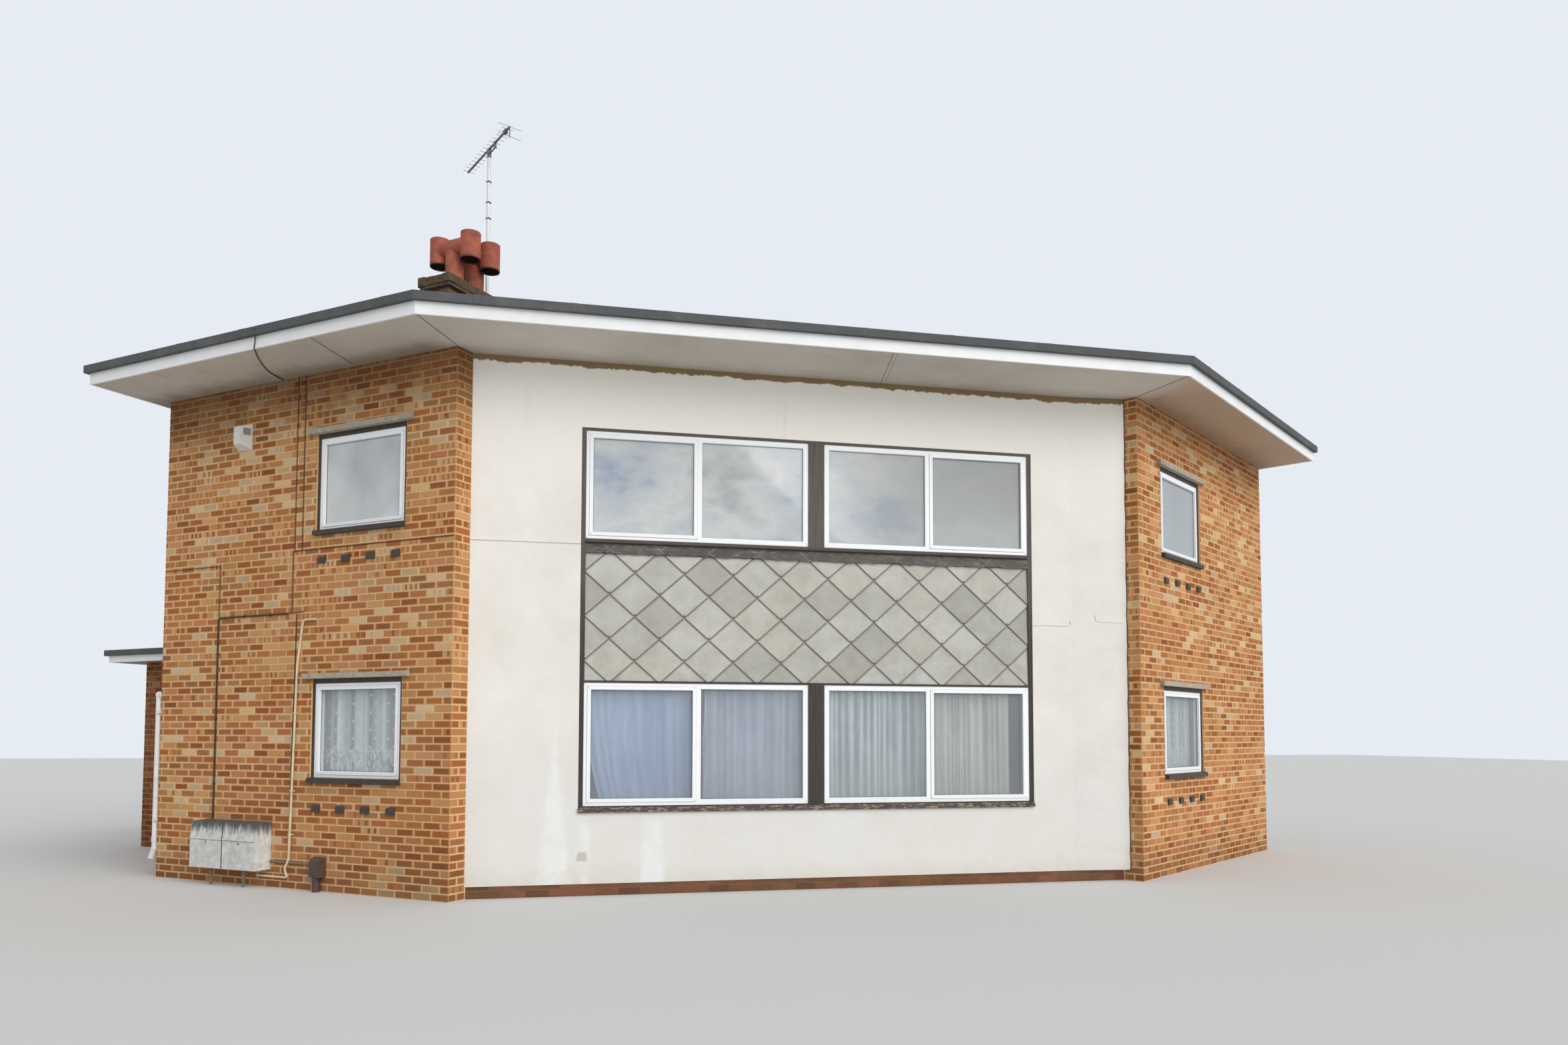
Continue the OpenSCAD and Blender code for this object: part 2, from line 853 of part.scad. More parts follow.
// Roof boards and soffit of the side store in one slab, with its lower face as the soffit
module store_roof() {
    color("#9a8f80")
        at_wing("left") {
            box(store_x0, store_x1 + store_over - fascia_t, store_y0, store_y1 + store_over - fascia_t,
                store_h + soffit_t, store_kerb_z);
            box(store_x0, store_x1 + store_over - fascia_t, store_y1, store_y1 + store_over - fascia_t,
                store_h, store_h + soffit_t);
            box(store_x1, store_x1 + store_over - fascia_t, store_y0, store_y1,
                store_h, store_h + soffit_t);
        }
}

module store_edge(out, width, z, h) {
    difference() {
        box(store_x0, store_x1 + out, store_y0, store_y1 + out, z, z + h);
        box(store_x0 - over, store_x1 + out - width, store_y0 - over, store_y1 + out - width,
            z - over, z + h + over);
    }
}

module store_fascia() {
    color("#f1f1f0")
        at_wing("left")
            store_edge(store_over, fascia_t, store_h - fascia_drop, store_fascia_h);
}

module store_felt() {
    color("#4a4b4c")
        at_wing("left") {
            store_edge(store_over + kerb_out, kerb_w, store_kerb_z, kerb_h);
            box(store_x0, store_x1 + store_over + kerb_out - kerb_w,
                store_y0, store_y1 + store_over + kerb_out - kerb_w, store_kerb_z, store_kerb_z + felt_t);
        }
}

module store_door_frame() {
    y1 = store_y1 - sub_set;
    color("#e8e8e6")
        at_wing("left")
            difference() {
                box(door_x0, door_x1, y1 - sub_depth, y1, 0, door_h + door_frame);
                box(door_x0 + door_frame, door_x1 - door_frame, y1 - sub_depth - over, y1 + over,
                    -over, door_h);
            }
}

module store_door() {
    y1 = store_y1 - sub_set - frame_set;
    color("#5b4636")
        at_wing("left")
            box(door_x0 + door_frame, door_x1 - door_frame, y1 - door_t, y1, 0, door_h);
}

// Services on the left wing, placed from its window and the first floor
hood_end_s = win_s + hood_len / 2;
meter_s = hood_end_s + 434;
meter_gap = 8;
meter_front_h = meter_h * 0.62;
meter_lid_set = meter_d * 0.09;

module meter_boxes() {
    color("#b9b7b0")
        at_wing("left")
            for (i = [0, 1])
                translate([meter_s + i * (meter_w + meter_gap), 0, meter_z])
                    rotate([90, 0, 90])
                        linear_extrude(height = meter_w)
                            polygon([[0, 0], [meter_d, 0], [meter_d, meter_front_h],
                                     [meter_d - meter_lid_set, meter_h - 12], [0, meter_h]]);
}

module meter_box_legs() {
    leg_t = 22;
    color("#6a6258")
        at_wing("left")
            for (i = [0, 1])
                translate([meter_s + (i + 0.5) * (meter_w + meter_gap) - leg_t / 2, meter_d * 0.55, 0])
                    cube([leg_t, leg_t, meter_z]);
}

// A bell box with four bevelled sides
module alarm_box() {
    w = 214;
    h = 285;
    deep = 110;
    bevel = 54;
    rim = 46;
    color("#e6e6e2")
        at_wing("left")
            translate([meter_s + 448, 0, soffit_z - 699])
                intersection() {
                    rotate([90, 0, 90])
                        linear_extrude(height = w)
                            polygon([[0, 0], [deep, rim], [deep, h - rim], [0, h]]);
                    linear_extrude(height = h)
                        polygon([[0, 0], [w, 0], [w - bevel, deep], [bevel, deep]]);
                }
}

// The thick pipe rises from the meter boxes and crosses towards the corner
pipe_s = meter_s + 2 * meter_w + meter_gap - 93;
pipe_turn_s = hood_end_s + 224;
pipe_turn_z = first_floor_top + 100;
cable_z = first_floor_top + 755;
cowl_s = win_s + 351;
cowl_w = 148;

module brown_pipe() {
    y = brown_pipe_d / 2;
    low_d = brown_pipe_d - 2;
    low_z = meter_z + 84;
    color("#3d2b22")
        at_wing("left") {
            run([[pipe_s, y, meter_z + meter_h], [pipe_s, y, pipe_turn_z], [pipe_turn_s, y, pipe_turn_z]],
                brown_pipe_d);
            bar([cowl_s + cowl_w, low_d / 2, low_z], [meter_s, low_d / 2, low_z], low_d);
        }
}

module surface_cables() {
    y = cable_d / 2;
    r = cable_d / 2;
    soffit_s = [hood_end_s + 194, hood_end_s + 86];
    far_s = wing_len - cable_d;
    step_z = cable_z - 87;
    color("#4a3a2e") {
        at_wing("left") {
            run([[pipe_turn_s - cable_d, y, pipe_turn_z], [pipe_turn_s - cable_d, y, cable_z],
                 [r, y, cable_z]], cable_d);
            run([[pipe_s, y, pipe_turn_z + brown_pipe_d], [pipe_s, y, step_z], [far_s, y, step_z]], cable_d);
            for (s = soffit_s)
                bar([s, y, cable_z + 2 * cable_d], [s, y, soffit_z], cable_d);
        }
    }
    color("#dcd8cd")
        bar([render_corner.x + cable_d, render_y - r, cable_z], [-corner_open_w / 2, render_y - r, cable_z],
            cable_d);
}

// The cream pipe bends out over the brown one and kinks before it turns along the ground
module cream_pipe() {
    y = cream_pipe_d / 2;
    front_y = brown_pipe_d + 2 + y;
    s = hood_end_s + cream_pipe_d + 25;
    top_z = first_floor_top + 25;
    foot_z = cream_pipe_d * 5;
    color("#d9d0b4")
        at_wing("left")
            run([[win_s + 573, y, top_z], [s - 10, y, top_z], [s + 60, y, top_z - 480],
                 [s + 82, front_y, foot_z + 182], [s + 128, front_y, foot_z + 109],
                 [s + 133, front_y, foot_z + 70], [s + 92, front_y, foot_z],
                 [meter_s + 160, front_y, foot_z]], cream_pipe_d);
}

// A brown cowl with a rounded top over the head of a ground pipe
module low_cowl() {
    deep = 85;
    z0 = 150;
    z1 = 345;
    stub_d = 76;
    color("#4a3630")
        at_wing("left")
            translate([cowl_s, 0, 0]) {
                rotate([90, 0, 90])
                    linear_extrude(height = cowl_w)
                        polygon([[0, z0], [deep, z0], [deep, z1 - 60], [deep * 0.92, z1 - 28],
                                 [deep * 0.7, z1 - 8], [deep * 0.4, z1], [0, z1]]);
                translate([cowl_w * 0.6, deep / 2, 0])
                    cylinder(h = z0 + 20, d = stub_d);
            }
}

// The downpipe stands on the side wall at the front corner, with an elbow at its head and a shoe
module downpipe() {
    off = 28;
    x = wing_len + off + downpipe_d / 2;
    y = -20;
    foot = 200;
    shoe_h = 190;
    collar_d = downpipe_d + 10;
    elbow_z = downpipe_top - downpipe_d / 2;
    color("#e9e9e6")
        at_wing("left") {
            run([[x + 24, y + 26, foot], [x, y, foot + 110], [x, y, elbow_z], [wing_len, y, elbow_z]], downpipe_d);
            translate([x, y, foot + shoe_h])
                cylinder(h = 45, d = collar_d);
            for (z = [foot + 420, downpipe_top - 240])
                box(wing_len, x, y - downpipe_d / 2 - 6, y + downpipe_d / 2 + 6, z, z + 35);
        }
}

ground_floor();
first_floor();
left_wing_wall();
right_wing_wall();
corner_wall();
corner_plinth();
left_side_wall();
right_party_wall();
back_wall();
roof_deck();
soffit_boards();
fascia_boards();
felt_roof();
corner_frame();
corner_sills();
upper_left_window();
upper_right_window();
lower_left_window();
lower_right_window();
upper_corner_glass();
lower_corner_glass();
slate_panel();
lead_flashing();
window_hoods();
window_sills();
window_subframes();
left_wing_windows();
right_wing_windows();
rear_windows();
wing_glass();
rear_glass();
corner_curtains();
wing_curtains();
corner_blinds();
left_vent_caps();
right_vent_caps();
chimney_stack();
chimney_cap();
chimney_pots();
aerial_mast();
aerial();
store_walls();
store_roof();
store_fascia();
store_felt();
store_door();
store_door_frame();
meter_boxes();
meter_box_legs();
alarm_box();
brown_pipe();
surface_cables();
cream_pipe();
low_cowl();
downpipe();
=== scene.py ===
"""Looks of the corner building: bricks, render, slates, windows, roof and fittings, in metres."""

import math
import random

import bpy
import numpy as np
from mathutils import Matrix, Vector


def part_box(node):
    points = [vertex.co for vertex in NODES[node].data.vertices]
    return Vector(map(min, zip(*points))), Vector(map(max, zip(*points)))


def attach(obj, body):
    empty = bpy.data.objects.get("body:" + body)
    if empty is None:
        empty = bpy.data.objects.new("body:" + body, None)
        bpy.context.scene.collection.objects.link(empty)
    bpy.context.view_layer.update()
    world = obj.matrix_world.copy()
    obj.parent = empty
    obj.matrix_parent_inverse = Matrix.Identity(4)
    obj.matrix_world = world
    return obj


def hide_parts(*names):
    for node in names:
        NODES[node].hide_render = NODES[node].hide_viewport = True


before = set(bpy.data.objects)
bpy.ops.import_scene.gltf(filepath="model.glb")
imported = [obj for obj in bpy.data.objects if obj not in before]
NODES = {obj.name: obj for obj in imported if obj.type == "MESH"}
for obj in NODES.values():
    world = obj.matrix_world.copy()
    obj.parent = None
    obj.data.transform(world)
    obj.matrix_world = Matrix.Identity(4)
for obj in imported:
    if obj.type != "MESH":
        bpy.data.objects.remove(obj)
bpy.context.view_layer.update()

# Driving sizes of the building, as in the part's source
WING_ANGLE = math.radians(36.5)
CANT_W = 7.25
WING_LEN = 4.20
SIDE_LEN = 6.00
QUOIN_RETURN = 0.215
SOFFIT_Z = 5.36
OVERHANG = 0.75
LEFT_OVERHANG = 0.782
RIGHT_OVERHANG = 0.711
WIN_S = 1.246
WIN_W = 1.162
WIN_H = 0.96
WIN_FACE = 0.064
SUB_SIDE = 0.032
SUB_HEAD = 0.050
SUB_SET = 0.015
SUB_DEPTH = 0.095
FRAME_SET = 0.008
SASH_OUT = 0.008
GLASS_SET = 0.020
SILL_T = 0.055
HOOD_LEN = 1.42
HOOD_T = 0.053
STOREYS = (1.094, 3.644)
PAIR_W = 2.297
MULLION_W = 0.173
LIGHT_FACE = 0.069
FIXED_FACE = 0.054
LIGHT_MULLION = 0.084
OPEN_LIGHT_W = 1.022
LOWER_H = 1.229
UPPER_H = 1.098
STORE_D = 1.97
STORE_W = 3.21
STORE_L = 2.30
STORE_H = 2.60

# Services on the left wing
METER_S = 2.390
METER_W = 0.490
METER_GAP = 0.008
METER_D = 0.200
METER_Z = 0.185
METER_H = 0.490
PIPE_S = METER_S + 2 * METER_W + METER_GAP - 0.093
PIPE_TURN_S = 2.180
PIPE_TURN_Z = 2.850
CABLE_Z = 3.505
ALARM_S = 2.838
LOUVRE_Z = 4.815

# Upper and lower end of the cream pipe's long straight run: along, out and up
CREAM_TOP = (2.065, 0.012, 2.295)
CREAM_FOOT = (2.087, 0.038, 0.302)

# Chimney stack along and behind the left wing's face, its cap, its two pots and the mast behind them
STACK_S = (1.467, 1.797)
STACK_D = (1.442, 2.322)
CAP_OUT = 0.080
POT_FOOT = 7.206
POT_ARM = 0.234
POT_SHARES = (0.31, 0.70)
MAST_D = 0.045
MAST_S = 1.762
MAST_BANDS = (8.11, 8.317, 8.586)

# Brick sizes: face, joint and the height of a course
BRICK_L = 0.213
BRICK_HEAD = 0.1005
BRICK_H = 0.063
JOINT = 0.012
COURSE = BRICK_H + JOINT
BRICK_OUT = 0.0025
BRICK_CHAMFER = 0.0018

PLAN_DEPTH = WING_LEN * math.sin(WING_ANGLE) + SIDE_LEN * math.cos(WING_ANGLE)
QUOIN_Y = -PLAN_DEPTH / 2
RENDER_Y = QUOIN_Y + QUOIN_RETURN * math.cos(WING_ANGLE)
TIMBER_Y = RENDER_Y + 0.012
UP = Vector((0, 0, 1))


def srgb(r, g, b):
    """A colour written as 0 to 255 values, as the shader's linear colour."""
    linear = [(c / 255 / 12.92) if c < 11 else ((c / 255 + 0.055) / 1.055) ** 2.4 for c in (r, g, b)]
    return (*linear, 1.0)


# Walls' own axes


class Wall:
    """Axes of one wall: a distance along it, a distance out of it and a height."""

    def __init__(self, origin, along, out):
        self.origin = Vector((origin[0], origin[1], 0))
        self.along = Vector((along[0], along[1], 0)).normalized()
        self.out = Vector((out[0], out[1], 0)).normalized()
        self.flip = self.along.cross(self.out).z < 0

    def at(self, s, out, z):
        return self.origin + self.along * s + self.out * out + UP * z


COS, SIN = math.cos(WING_ANGLE), math.sin(WING_ANGLE)
QUOIN = Vector((-CANT_W / 2, QUOIN_Y))
WING_END = QUOIN + WING_LEN * Vector((-COS, SIN))
BACK_CORNER = WING_END + SIDE_LEN * Vector((SIN, COS))


def mirrored(wall):
    """The same wall on the right-hand side of the building."""
    return Wall((-wall.origin.x, wall.origin.y), (-wall.along.x, wall.along.y), (-wall.out.x, wall.out.y))


LEFT = Wall(QUOIN, (-COS, SIN), (-SIN, -COS))
RIGHT = mirrored(LEFT)
LEFT_RETURN = Wall(QUOIN, (SIN, COS), (COS, -SIN))
RIGHT_RETURN = mirrored(LEFT_RETURN)
LEFT_SIDE = Wall(WING_END, (SIN, COS), (-COS, SIN))
RIGHT_SIDE = mirrored(LEFT_SIDE)
CENTRE = Wall((0, RENDER_Y), (1, 0), (0, -1))
BACK = Wall(BACK_CORNER, (1, 0), (0, 1))
BACK_W = -2 * BACK_CORNER.x
STORE_FRONT = Wall(LEFT.at(WING_LEN, -STORE_D, 0).xy, LEFT.along.xy, LEFT.out.xy)


# Camera first


def place_camera():
    """The photograph's own viewing angle, from standing height across the pavement."""
    camera = bpy.data.cameras.new("camera")
    camera.sensor_fit = "HORIZONTAL"
    camera.sensor_width = 36
    camera.lens = 23.883
    camera.shift_y = 0.1011
    camera.clip_end = 200
    holder = bpy.data.objects.new("camera", camera)
    holder.location = (-2.5635, -10.3655 + QUOIN_Y, 1.5971)
    pitch, turn, roll = 0.0511, 0.2072, 0.0016
    holder.rotation_mode = "XYZ"
    holder.rotation_euler = (math.pi / 2 + pitch, 0, -turn)
    holder.rotation_euler.rotate_axis("Z", roll)
    bpy.context.scene.collection.objects.link(holder)
    bpy.context.scene.camera = holder


place_camera()


# Material building blocks


class Value:
    """What one node of a material works out. Arithmetic on it adds the nodes that it needs."""

    def __init__(self, shade, socket):
        self.shade = shade
        self.socket = socket

    def __add__(self, other):
        return self.shade.math("ADD", self, other)

    def __sub__(self, other):
        return self.shade.math("SUBTRACT", self, other)

    def __rsub__(self, other):
        return self.shade.math("SUBTRACT", other, self)

    def __mul__(self, other):
        return self.shade.math("MULTIPLY", self, other)

    def __abs__(self):
        return self.shade.math("ABSOLUTE", self, 0.0)

    def larger(self, other):
        return self.shade.math("MAXIMUM", self, other)

    def clamped(self):
        self.socket.node.use_clamp = True
        return self

    def step(self, low, high):
        """0 below low and 1 above high, or the other way round where low is the larger."""
        values = {"Value": self, "From Min": low, "From Max": high, "To Min": 0.0, "To Max": 1.0}
        return self.shade.value("ShaderNodeMapRange", values, interpolation_type="SMOOTHSTEP")

    def ramp(self, *stops):
        """A colour between stops of (position, red, green, blue)."""
        made = self.shade.new("ShaderNodeValToRGB", {0: self})
        elements = made.color_ramp.elements
        while len(elements) < len(stops):
            elements.new(0.5)
        for element, (position, *colour) in zip(elements, stops):
            element.position = position
            element.color = srgb(*colour)
        return Value(self.shade, made.outputs[0])

    def mix(self, share, colour, blend="MIX"):
        """This colour with a share of another one over it."""
        return self.shade.mix(share, self, colour, blend=blend)


class Shader:
    """A material's node tree, with short calls for the nodes that this script uses."""

    def __init__(self, name, roughness=0.6, specular=0.4, metallic=0.0):
        self.material = bpy.data.materials.new(name)
        self.material.use_nodes = True
        self.tree = self.material.node_tree
        self.bsdf = self.tree.nodes["Principled BSDF"].inputs
        self.bsdf["Roughness"].default_value = roughness
        self.bsdf["Specular IOR Level"].default_value = specular
        self.bsdf["Metallic"].default_value = metallic

    def put(self, socket, value):
        if isinstance(value, Value):
            self.tree.links.new(value.socket, socket)
        else:
            socket.default_value = value

    def new(self, kind, values, **options):
        """A node with its options set and its inputs linked or filled in."""
        made = self.tree.nodes.new(kind)
        for key, value in options.items():
            setattr(made, key, value)
        for key, value in values.items():
            self.put(made.inputs[key], value)
        return made

    def value(self, kind, values, output=0, **options):
        return Value(self, self.new(kind, values, **options).outputs[output])

    def math(self, operation, a, b):
        return self.value("ShaderNodeMath", {0: a, 1: b}, operation=operation)

    def mix(self, share, *colours, blend="MIX"):
        """A share of the second colour over the first; each is a value or (red, green, blue)."""
        made = self.new("ShaderNodeMix", {0: share}, data_type="RGBA", blend_type=blend)
        for index, colour in zip((6, 7), colours):
            self.put(made.inputs[index], srgb(*colour) if isinstance(colour, tuple) else colour)
        return Value(self, made.outputs[2])

    def coords(self):
        return self.value("ShaderNodeTexCoord", {}, "Object")

    def flat(self):
        return self.value("ShaderNodeUVMap", {}, uv_map="UVMap")

    def axes(self, vector=None):
        made = self.new("ShaderNodeSeparateXYZ", {0: vector or self.coords()})
        return [Value(self, output) for output in made.outputs]

    def attribute(self, name):
        made = self.new("ShaderNodeAttribute", {}, attribute_name=name, attribute_type="GEOMETRY")
        split = self.new("ShaderNodeSeparateColor", {0: Value(self, made.outputs["Color"])})
        return [Value(self, output) for output in (*split.outputs, made.outputs["Alpha"])]

    def noise(self, scale, detail=3.0, roughness=0.5, stretch=None, distortion=0.0, vector=None):
        """Noise over the object's own coordinates, or over another vector, stretched where asked."""
        vector = vector or self.coords()
        if stretch:
            vector = self.value("ShaderNodeMapping", {"Vector": vector, "Scale": stretch})
        values = {"Vector": vector, "Scale": scale, "Detail": detail, "Roughness": roughness,
                  "Distortion": distortion}
        return self.value("ShaderNodeTexNoise", values, "Fac")

    def cells(self, values):
        return self.value("ShaderNodeTexVoronoi", values, "Distance")

    def done(self, colour, bump=None, roughness=None, alpha=None):
        """The material with its colour and, where given, its (height, strength, distance) of bump."""
        self.put(self.bsdf["Base Color"], colour)
        if bump:
            values = dict(zip(("Height", "Strength", "Distance"), bump))
            self.put(self.bsdf["Normal"], self.value("ShaderNodeBump", values))
        for key, value in (("Roughness", roughness), ("Alpha", alpha)):
            if value is not None:
                self.put(self.bsdf[key], value)
        return self.material


def eaves_shade_and_stain(shade):
    """Painted shade and staining under the eaves: 1 close under the soffit, fading raggedly to 0 below it,
    and weaker on the right-hand side.
    """
    x, _, z = shade.axes()
    height = z + shade.noise(2.2, 5, 0.65) * 0.9
    return height.step(SOFFIT_Z - 0.35, SOFFIT_Z + 0.45) * (1.0 - x.step(0.0, 1.0) * 0.75)


# Materials


def brick_material(name="brick_faces", dim=None):
    """Buff bricks with pale rims, each with its own tone and its own dark kiss marks."""
    shade = Shader(name, 0.85, 0.25)
    u, v, _ = shade.axes(shade.flat())
    place_1, width_1, place_2, width_2 = shade.attribute("marks")
    tone, place_3, width_3, strength = shade.attribute("tones")
    base = tone.ramp(
        (0.00, 205, 156, 102),
        (0.14, 199, 147, 91),
        (0.28, 222, 175, 121),
        (0.42, 202, 142, 88),
        (0.56, 218, 170, 117),
        (0.72, 202, 137, 92),
        (0.84, 231, 197, 146),
        (0.93, 230, 207, 166),
        (1.00, 218, 197, 166),
    )
    dark = tone.ramp(
        (0.00, 174, 106, 54),
        (0.30, 148, 88, 43),
        (0.55, 186, 112, 62),
        (0.75, 134, 80, 42),
        (1.00, 158, 108, 68),
    )
    ragged = shade.noise(36, 3, 0.6) - 0.5
    u_soft, v_soft = u + ragged * 0.07, v + ragged * 0.20
    marks = 0.0
    for place, width in ((place_1, width_1), (place_2, width_2), (place_3, width_3)):
        marks = ((width - abs(u_soft - place)) * 40.0).clamped().larger(marks)
    tall = ((0.45 - abs(v_soft - 0.5)) * 12.0).clamped()
    faint = strength * (tone.step(0.9, 0.82) + 0.35).clamped()
    patchy = (shade.noise(52, 4, 0.65) * 0.9 + 0.5).clamped()
    colour = base.mix(marks * tall * faint * patchy, dark)
    grain = shade.noise(240, 4, 0.7)
    colour = colour.mix(0.3, grain.ramp((0.3, 150, 130, 112), (0.7, 255, 248, 240)), "MULTIPLY")
    weather = shade.noise(1.1, 4).ramp((0.3, 196, 182, 164), (0.7, 252, 246, 238))
    colour = colour.mix(0.4, weather, "MULTIPLY")
    # Painted shade, with some staining, under the eaves
    colour = colour.mix(eaves_shade_and_stain(shade) * 0.72, (96, 62, 34))
    splash = (shade.axes()[2] + shade.noise(3, 4) * 0.4).step(0.75, 0.20)
    colour = colour.mix(splash * 0.5, (112, 80, 54))
    # Painted shade, multiplied in where a dim colour is given
    if dim:
        colour = colour.mix(1.0, dim, "MULTIPLY")
    return shade.done(colour, (grain, 0.5, 0.0015))


def mortar_material(name="mortar", dim=None):
    """Sandy mortar, with painted shade and staining under the eaves like the bricks."""
    shade = Shader(name, 0.95, 0.15)
    grain = shade.noise(300, 4, 0.7)
    colour = grain.ramp((0.25, 210, 164, 115), (0.75, 245, 204, 156))
    # Painted shade, with some staining, under the eaves
    colour = colour.mix(eaves_shade_and_stain(shade) * 0.65, (98, 68, 40))
    # Painted shade, multiplied in where a dim colour is given
    if dim:
        colour = colour.mix(1.0, dim, "MULTIPLY")
    return shade.done(colour, (grain, 0.5, 0.002))


def plinth_material():
    """The plinth's darker mortar."""
    shade = Shader("plinth_mortar", 0.95, 0.15)
    grain = shade.noise(300, 4, 0.7)
    return shade.done(grain.ramp((0.25, 98, 82, 62), (0.75, 130, 112, 88)), (grain, 0.5, 0.002))


def red_brick_material():
    """The plinth's red-brown bricks, with soft patches of grime."""
    shade = Shader("red_brick_faces", 0.9, 0.2)
    colour = shade.attribute("tones")[0].ramp((0.0, 122, 78, 58), (0.5, 136, 88, 66), (1.0, 104, 70, 54))
    colour = colour.mix(shade.noise(3, 6, 0.65).step(0.45, 0.75) * 0.75, (86, 78, 52))
    return shade.done(colour, (shade.noise(240, 4, 0.7), 0.5, 0.0015))


# Mended strips in the render: middle, half width, top, and how much they narrow upwards
MENDED = ((-2.66, 0.17, 1.72, 0.10), (-2.36, 0.05, 0.80, 0.02), (-1.69, 0.11, 0.80, 0.02))
# Middle of the one small patch where the render has come off
BARE_PATCH = (-2.385, 0.385)


def render_material():
    """Painted render: a fine worm-like texture, mended strips, painted light towards the top, and dirt
    under the eaves.
    """
    shade = Shader("render", 0.85, 0.2)
    x, _, z = shade.axes()
    colour = shade.noise(1.3, 6, 0.65).ramp((0.3, 226, 221, 212), (0.7, 238, 235, 229))
    # Painted light: brighter towards the top, to lift the shade under the eaves
    colour = colour.mix(z.step(3.6, 5.2), (255, 252, 245))
    colour = colour.mix(z.step(2.0, 0.9) * 0.4, (217, 217, 216))
    low = (z + shade.noise(5, 5) * 0.25).step(0.45, 0.2)
    colour = colour.mix(low * 0.3, (196, 188, 168))
    x_soft = x + (shade.noise(6, 4, 0.6) - 0.5) * 0.12
    cloudy = (shade.noise(5, 6, 0.7).step(0.35, 0.65) + 0.35).clamped()
    for middle, half, top, taper in MENDED:
        strip = (abs(x_soft - middle) + z * taper).step(half + 0.04, half - 0.04)
        colour = colour.mix(strip * z.step(top, top - 0.15) * cloudy * 0.6, (238, 240, 242))
    bare = abs(x_soft - BARE_PATCH[0]).larger(abs(z - BARE_PATCH[1]))
    colour = colour.mix(bare.step(0.055, 0.035) * 0.55, (168, 160, 150))
    band = (z + shade.noise(7, 6, 0.7) * 0.12).step(SOFFIT_Z - 0.006, SOFFIT_Z + 0.008)
    colour = colour.mix(band * 0.95, (136, 113, 68))
    streaks = shade.noise(9, 5, 0.7, (1, 1, 0.06)).step(0.6, 0.78) * z.step(3.2, 5.3)
    colour = colour.mix(streaks * 0.12, (150, 138, 118))
    worms = shade.noise(75, 4, 0.6, (1, 1, 1.6), 0.6)
    return shade.done(colour, (worms + shade.noise(340, 2, 0.5) * 0.25, 0.55, 0.004))


def plain_material(name, colour, dirt, amount, scale, roughness, grain, strength, metallic=0.0,
                   specular=0.4):
    """A surface of one colour with soft dirt, a fine grain and uneven roughness."""
    shade = Shader(name, roughness, specular, metallic)
    spots = shade.noise(scale, 6, 0.65)
    colour = shade.mix(spots.step(0.42, 0.72) * amount, colour, dirt)
    bump = (shade.noise(grain, 3, 0.6), strength, 0.0015)
    return shade.done(colour, bump, spots * 0.16 + (roughness - 0.08))


def soffit_material():
    """Painted boards, with painted shade close to the walls and painted tan light reflected from the
    right-hand wing's bricks.
    """
    shade = Shader("soffit_paint", 0.7, 0.25)
    x, y, _ = shade.axes()
    colour = shade.noise(0.8, 5, 0.6).ramp((0.3, 188, 180, 168), (0.7, 207, 201, 192))
    centre = RENDER_Y - y
    sides = [x * wall.out.x + y * wall.out.y - wall.origin.dot(wall.out) for wall in (LEFT, RIGHT)]
    wings = sides[0].larger(sides[1])
    # Painted shade close to the walls, deeper on the wings than at the centre
    near_wall_shade = (centre.larger(wings) + shade.noise(3, 6, 0.7) * 0.4).step(0.55, 0.2)
    depth = (wings - centre).step(-0.2, 0.1) * 0.36 + 0.22
    colour = colour.mix(near_wall_shade * depth, (112, 86, 60))
    # Painted reflected light: tan from the bricks along the right-hand wing
    brick_bounce_light = x.step(CANT_W / 2 - 0.1, CANT_W / 2 + 0.5) * (0.0 - y).step(-0.5, 0.5)
    colour = colour.mix(brick_bounce_light * 0.55, (174, 140, 102))
    colour = colour.mix(shade.noise(3.5, 7, 0.7).step(0.56, 0.8) * 0.4, (146, 126, 100))
    spots = shade.cells({"Vector": shade.coords(), "Scale": 5.0}).step(0.05, 0.02)
    colour = colour.mix(spots * 0.5, (120, 100, 76))
    return shade.done(colour, (shade.noise(120), 0.1, 0.001))


def upvc_material():
    """White plastic frames, a little dusty."""
    shade = Shader("white_upvc", 0.32, 0.5)
    dirt = shade.noise(8, 6, 0.7).step(0.5, 0.8)
    colour = shade.mix(dirt * 0.14, (247, 248, 250), (196, 192, 182))
    return shade.done(colour, (shade.noise(60, 2), 0.04, 0.001))


def felt_material():
    """Mineral felt: dark, with pale chips and worn, bleached patches."""
    shade = Shader("mineral_felt", 0.92, 0.2)
    chips = shade.noise(420, 2, 0.6)
    colour = chips.ramp((0.35, 67, 69, 71), (0.7, 112, 113, 114))
    colour = colour.mix(shade.noise(2.6, 6, 0.7).step(0.45, 0.75) * 0.4, (126, 126, 124))
    return shade.done(colour, (chips, 0.6, 0.002))


def timber_material():
    """Old dark paint on upright timber, bleached higher up."""
    shade = Shader("dark_paint", 0.6, 0.35)
    grain = shade.noise(1, 5, 0.6, (40, 40, 2.5))
    low = grain.ramp((0.3, 50, 44, 41), (0.7, 68, 62, 58))
    high = grain.ramp((0.3, 76, 72, 68), (0.7, 98, 94, 88))
    return shade.done(low.mix(shade.axes()[2].step(2.5, 3.4), high), (grain, 0.3, 0.001))


def sill_material():
    """The same paint on the sills, cracked and lifting in pale flakes on the lower one."""
    shade = Shader("flaking_paint", 0.65, 0.3)
    grain = shade.noise(1, 5, 0.6, (2.5, 40, 40))
    flakes = shade.noise(1, 6, 0.75, (17, 30, 62)).step(0.51, 0.56)
    peel = flakes * shade.axes()[2].step(2.0, 1.5)
    colour = grain.ramp((0.3, 66, 58, 53), (0.7, 90, 82, 76)).mix(peel * 0.85, (164, 146, 132))
    return shade.done(colour, (grain - peel, 0.5, 0.002))


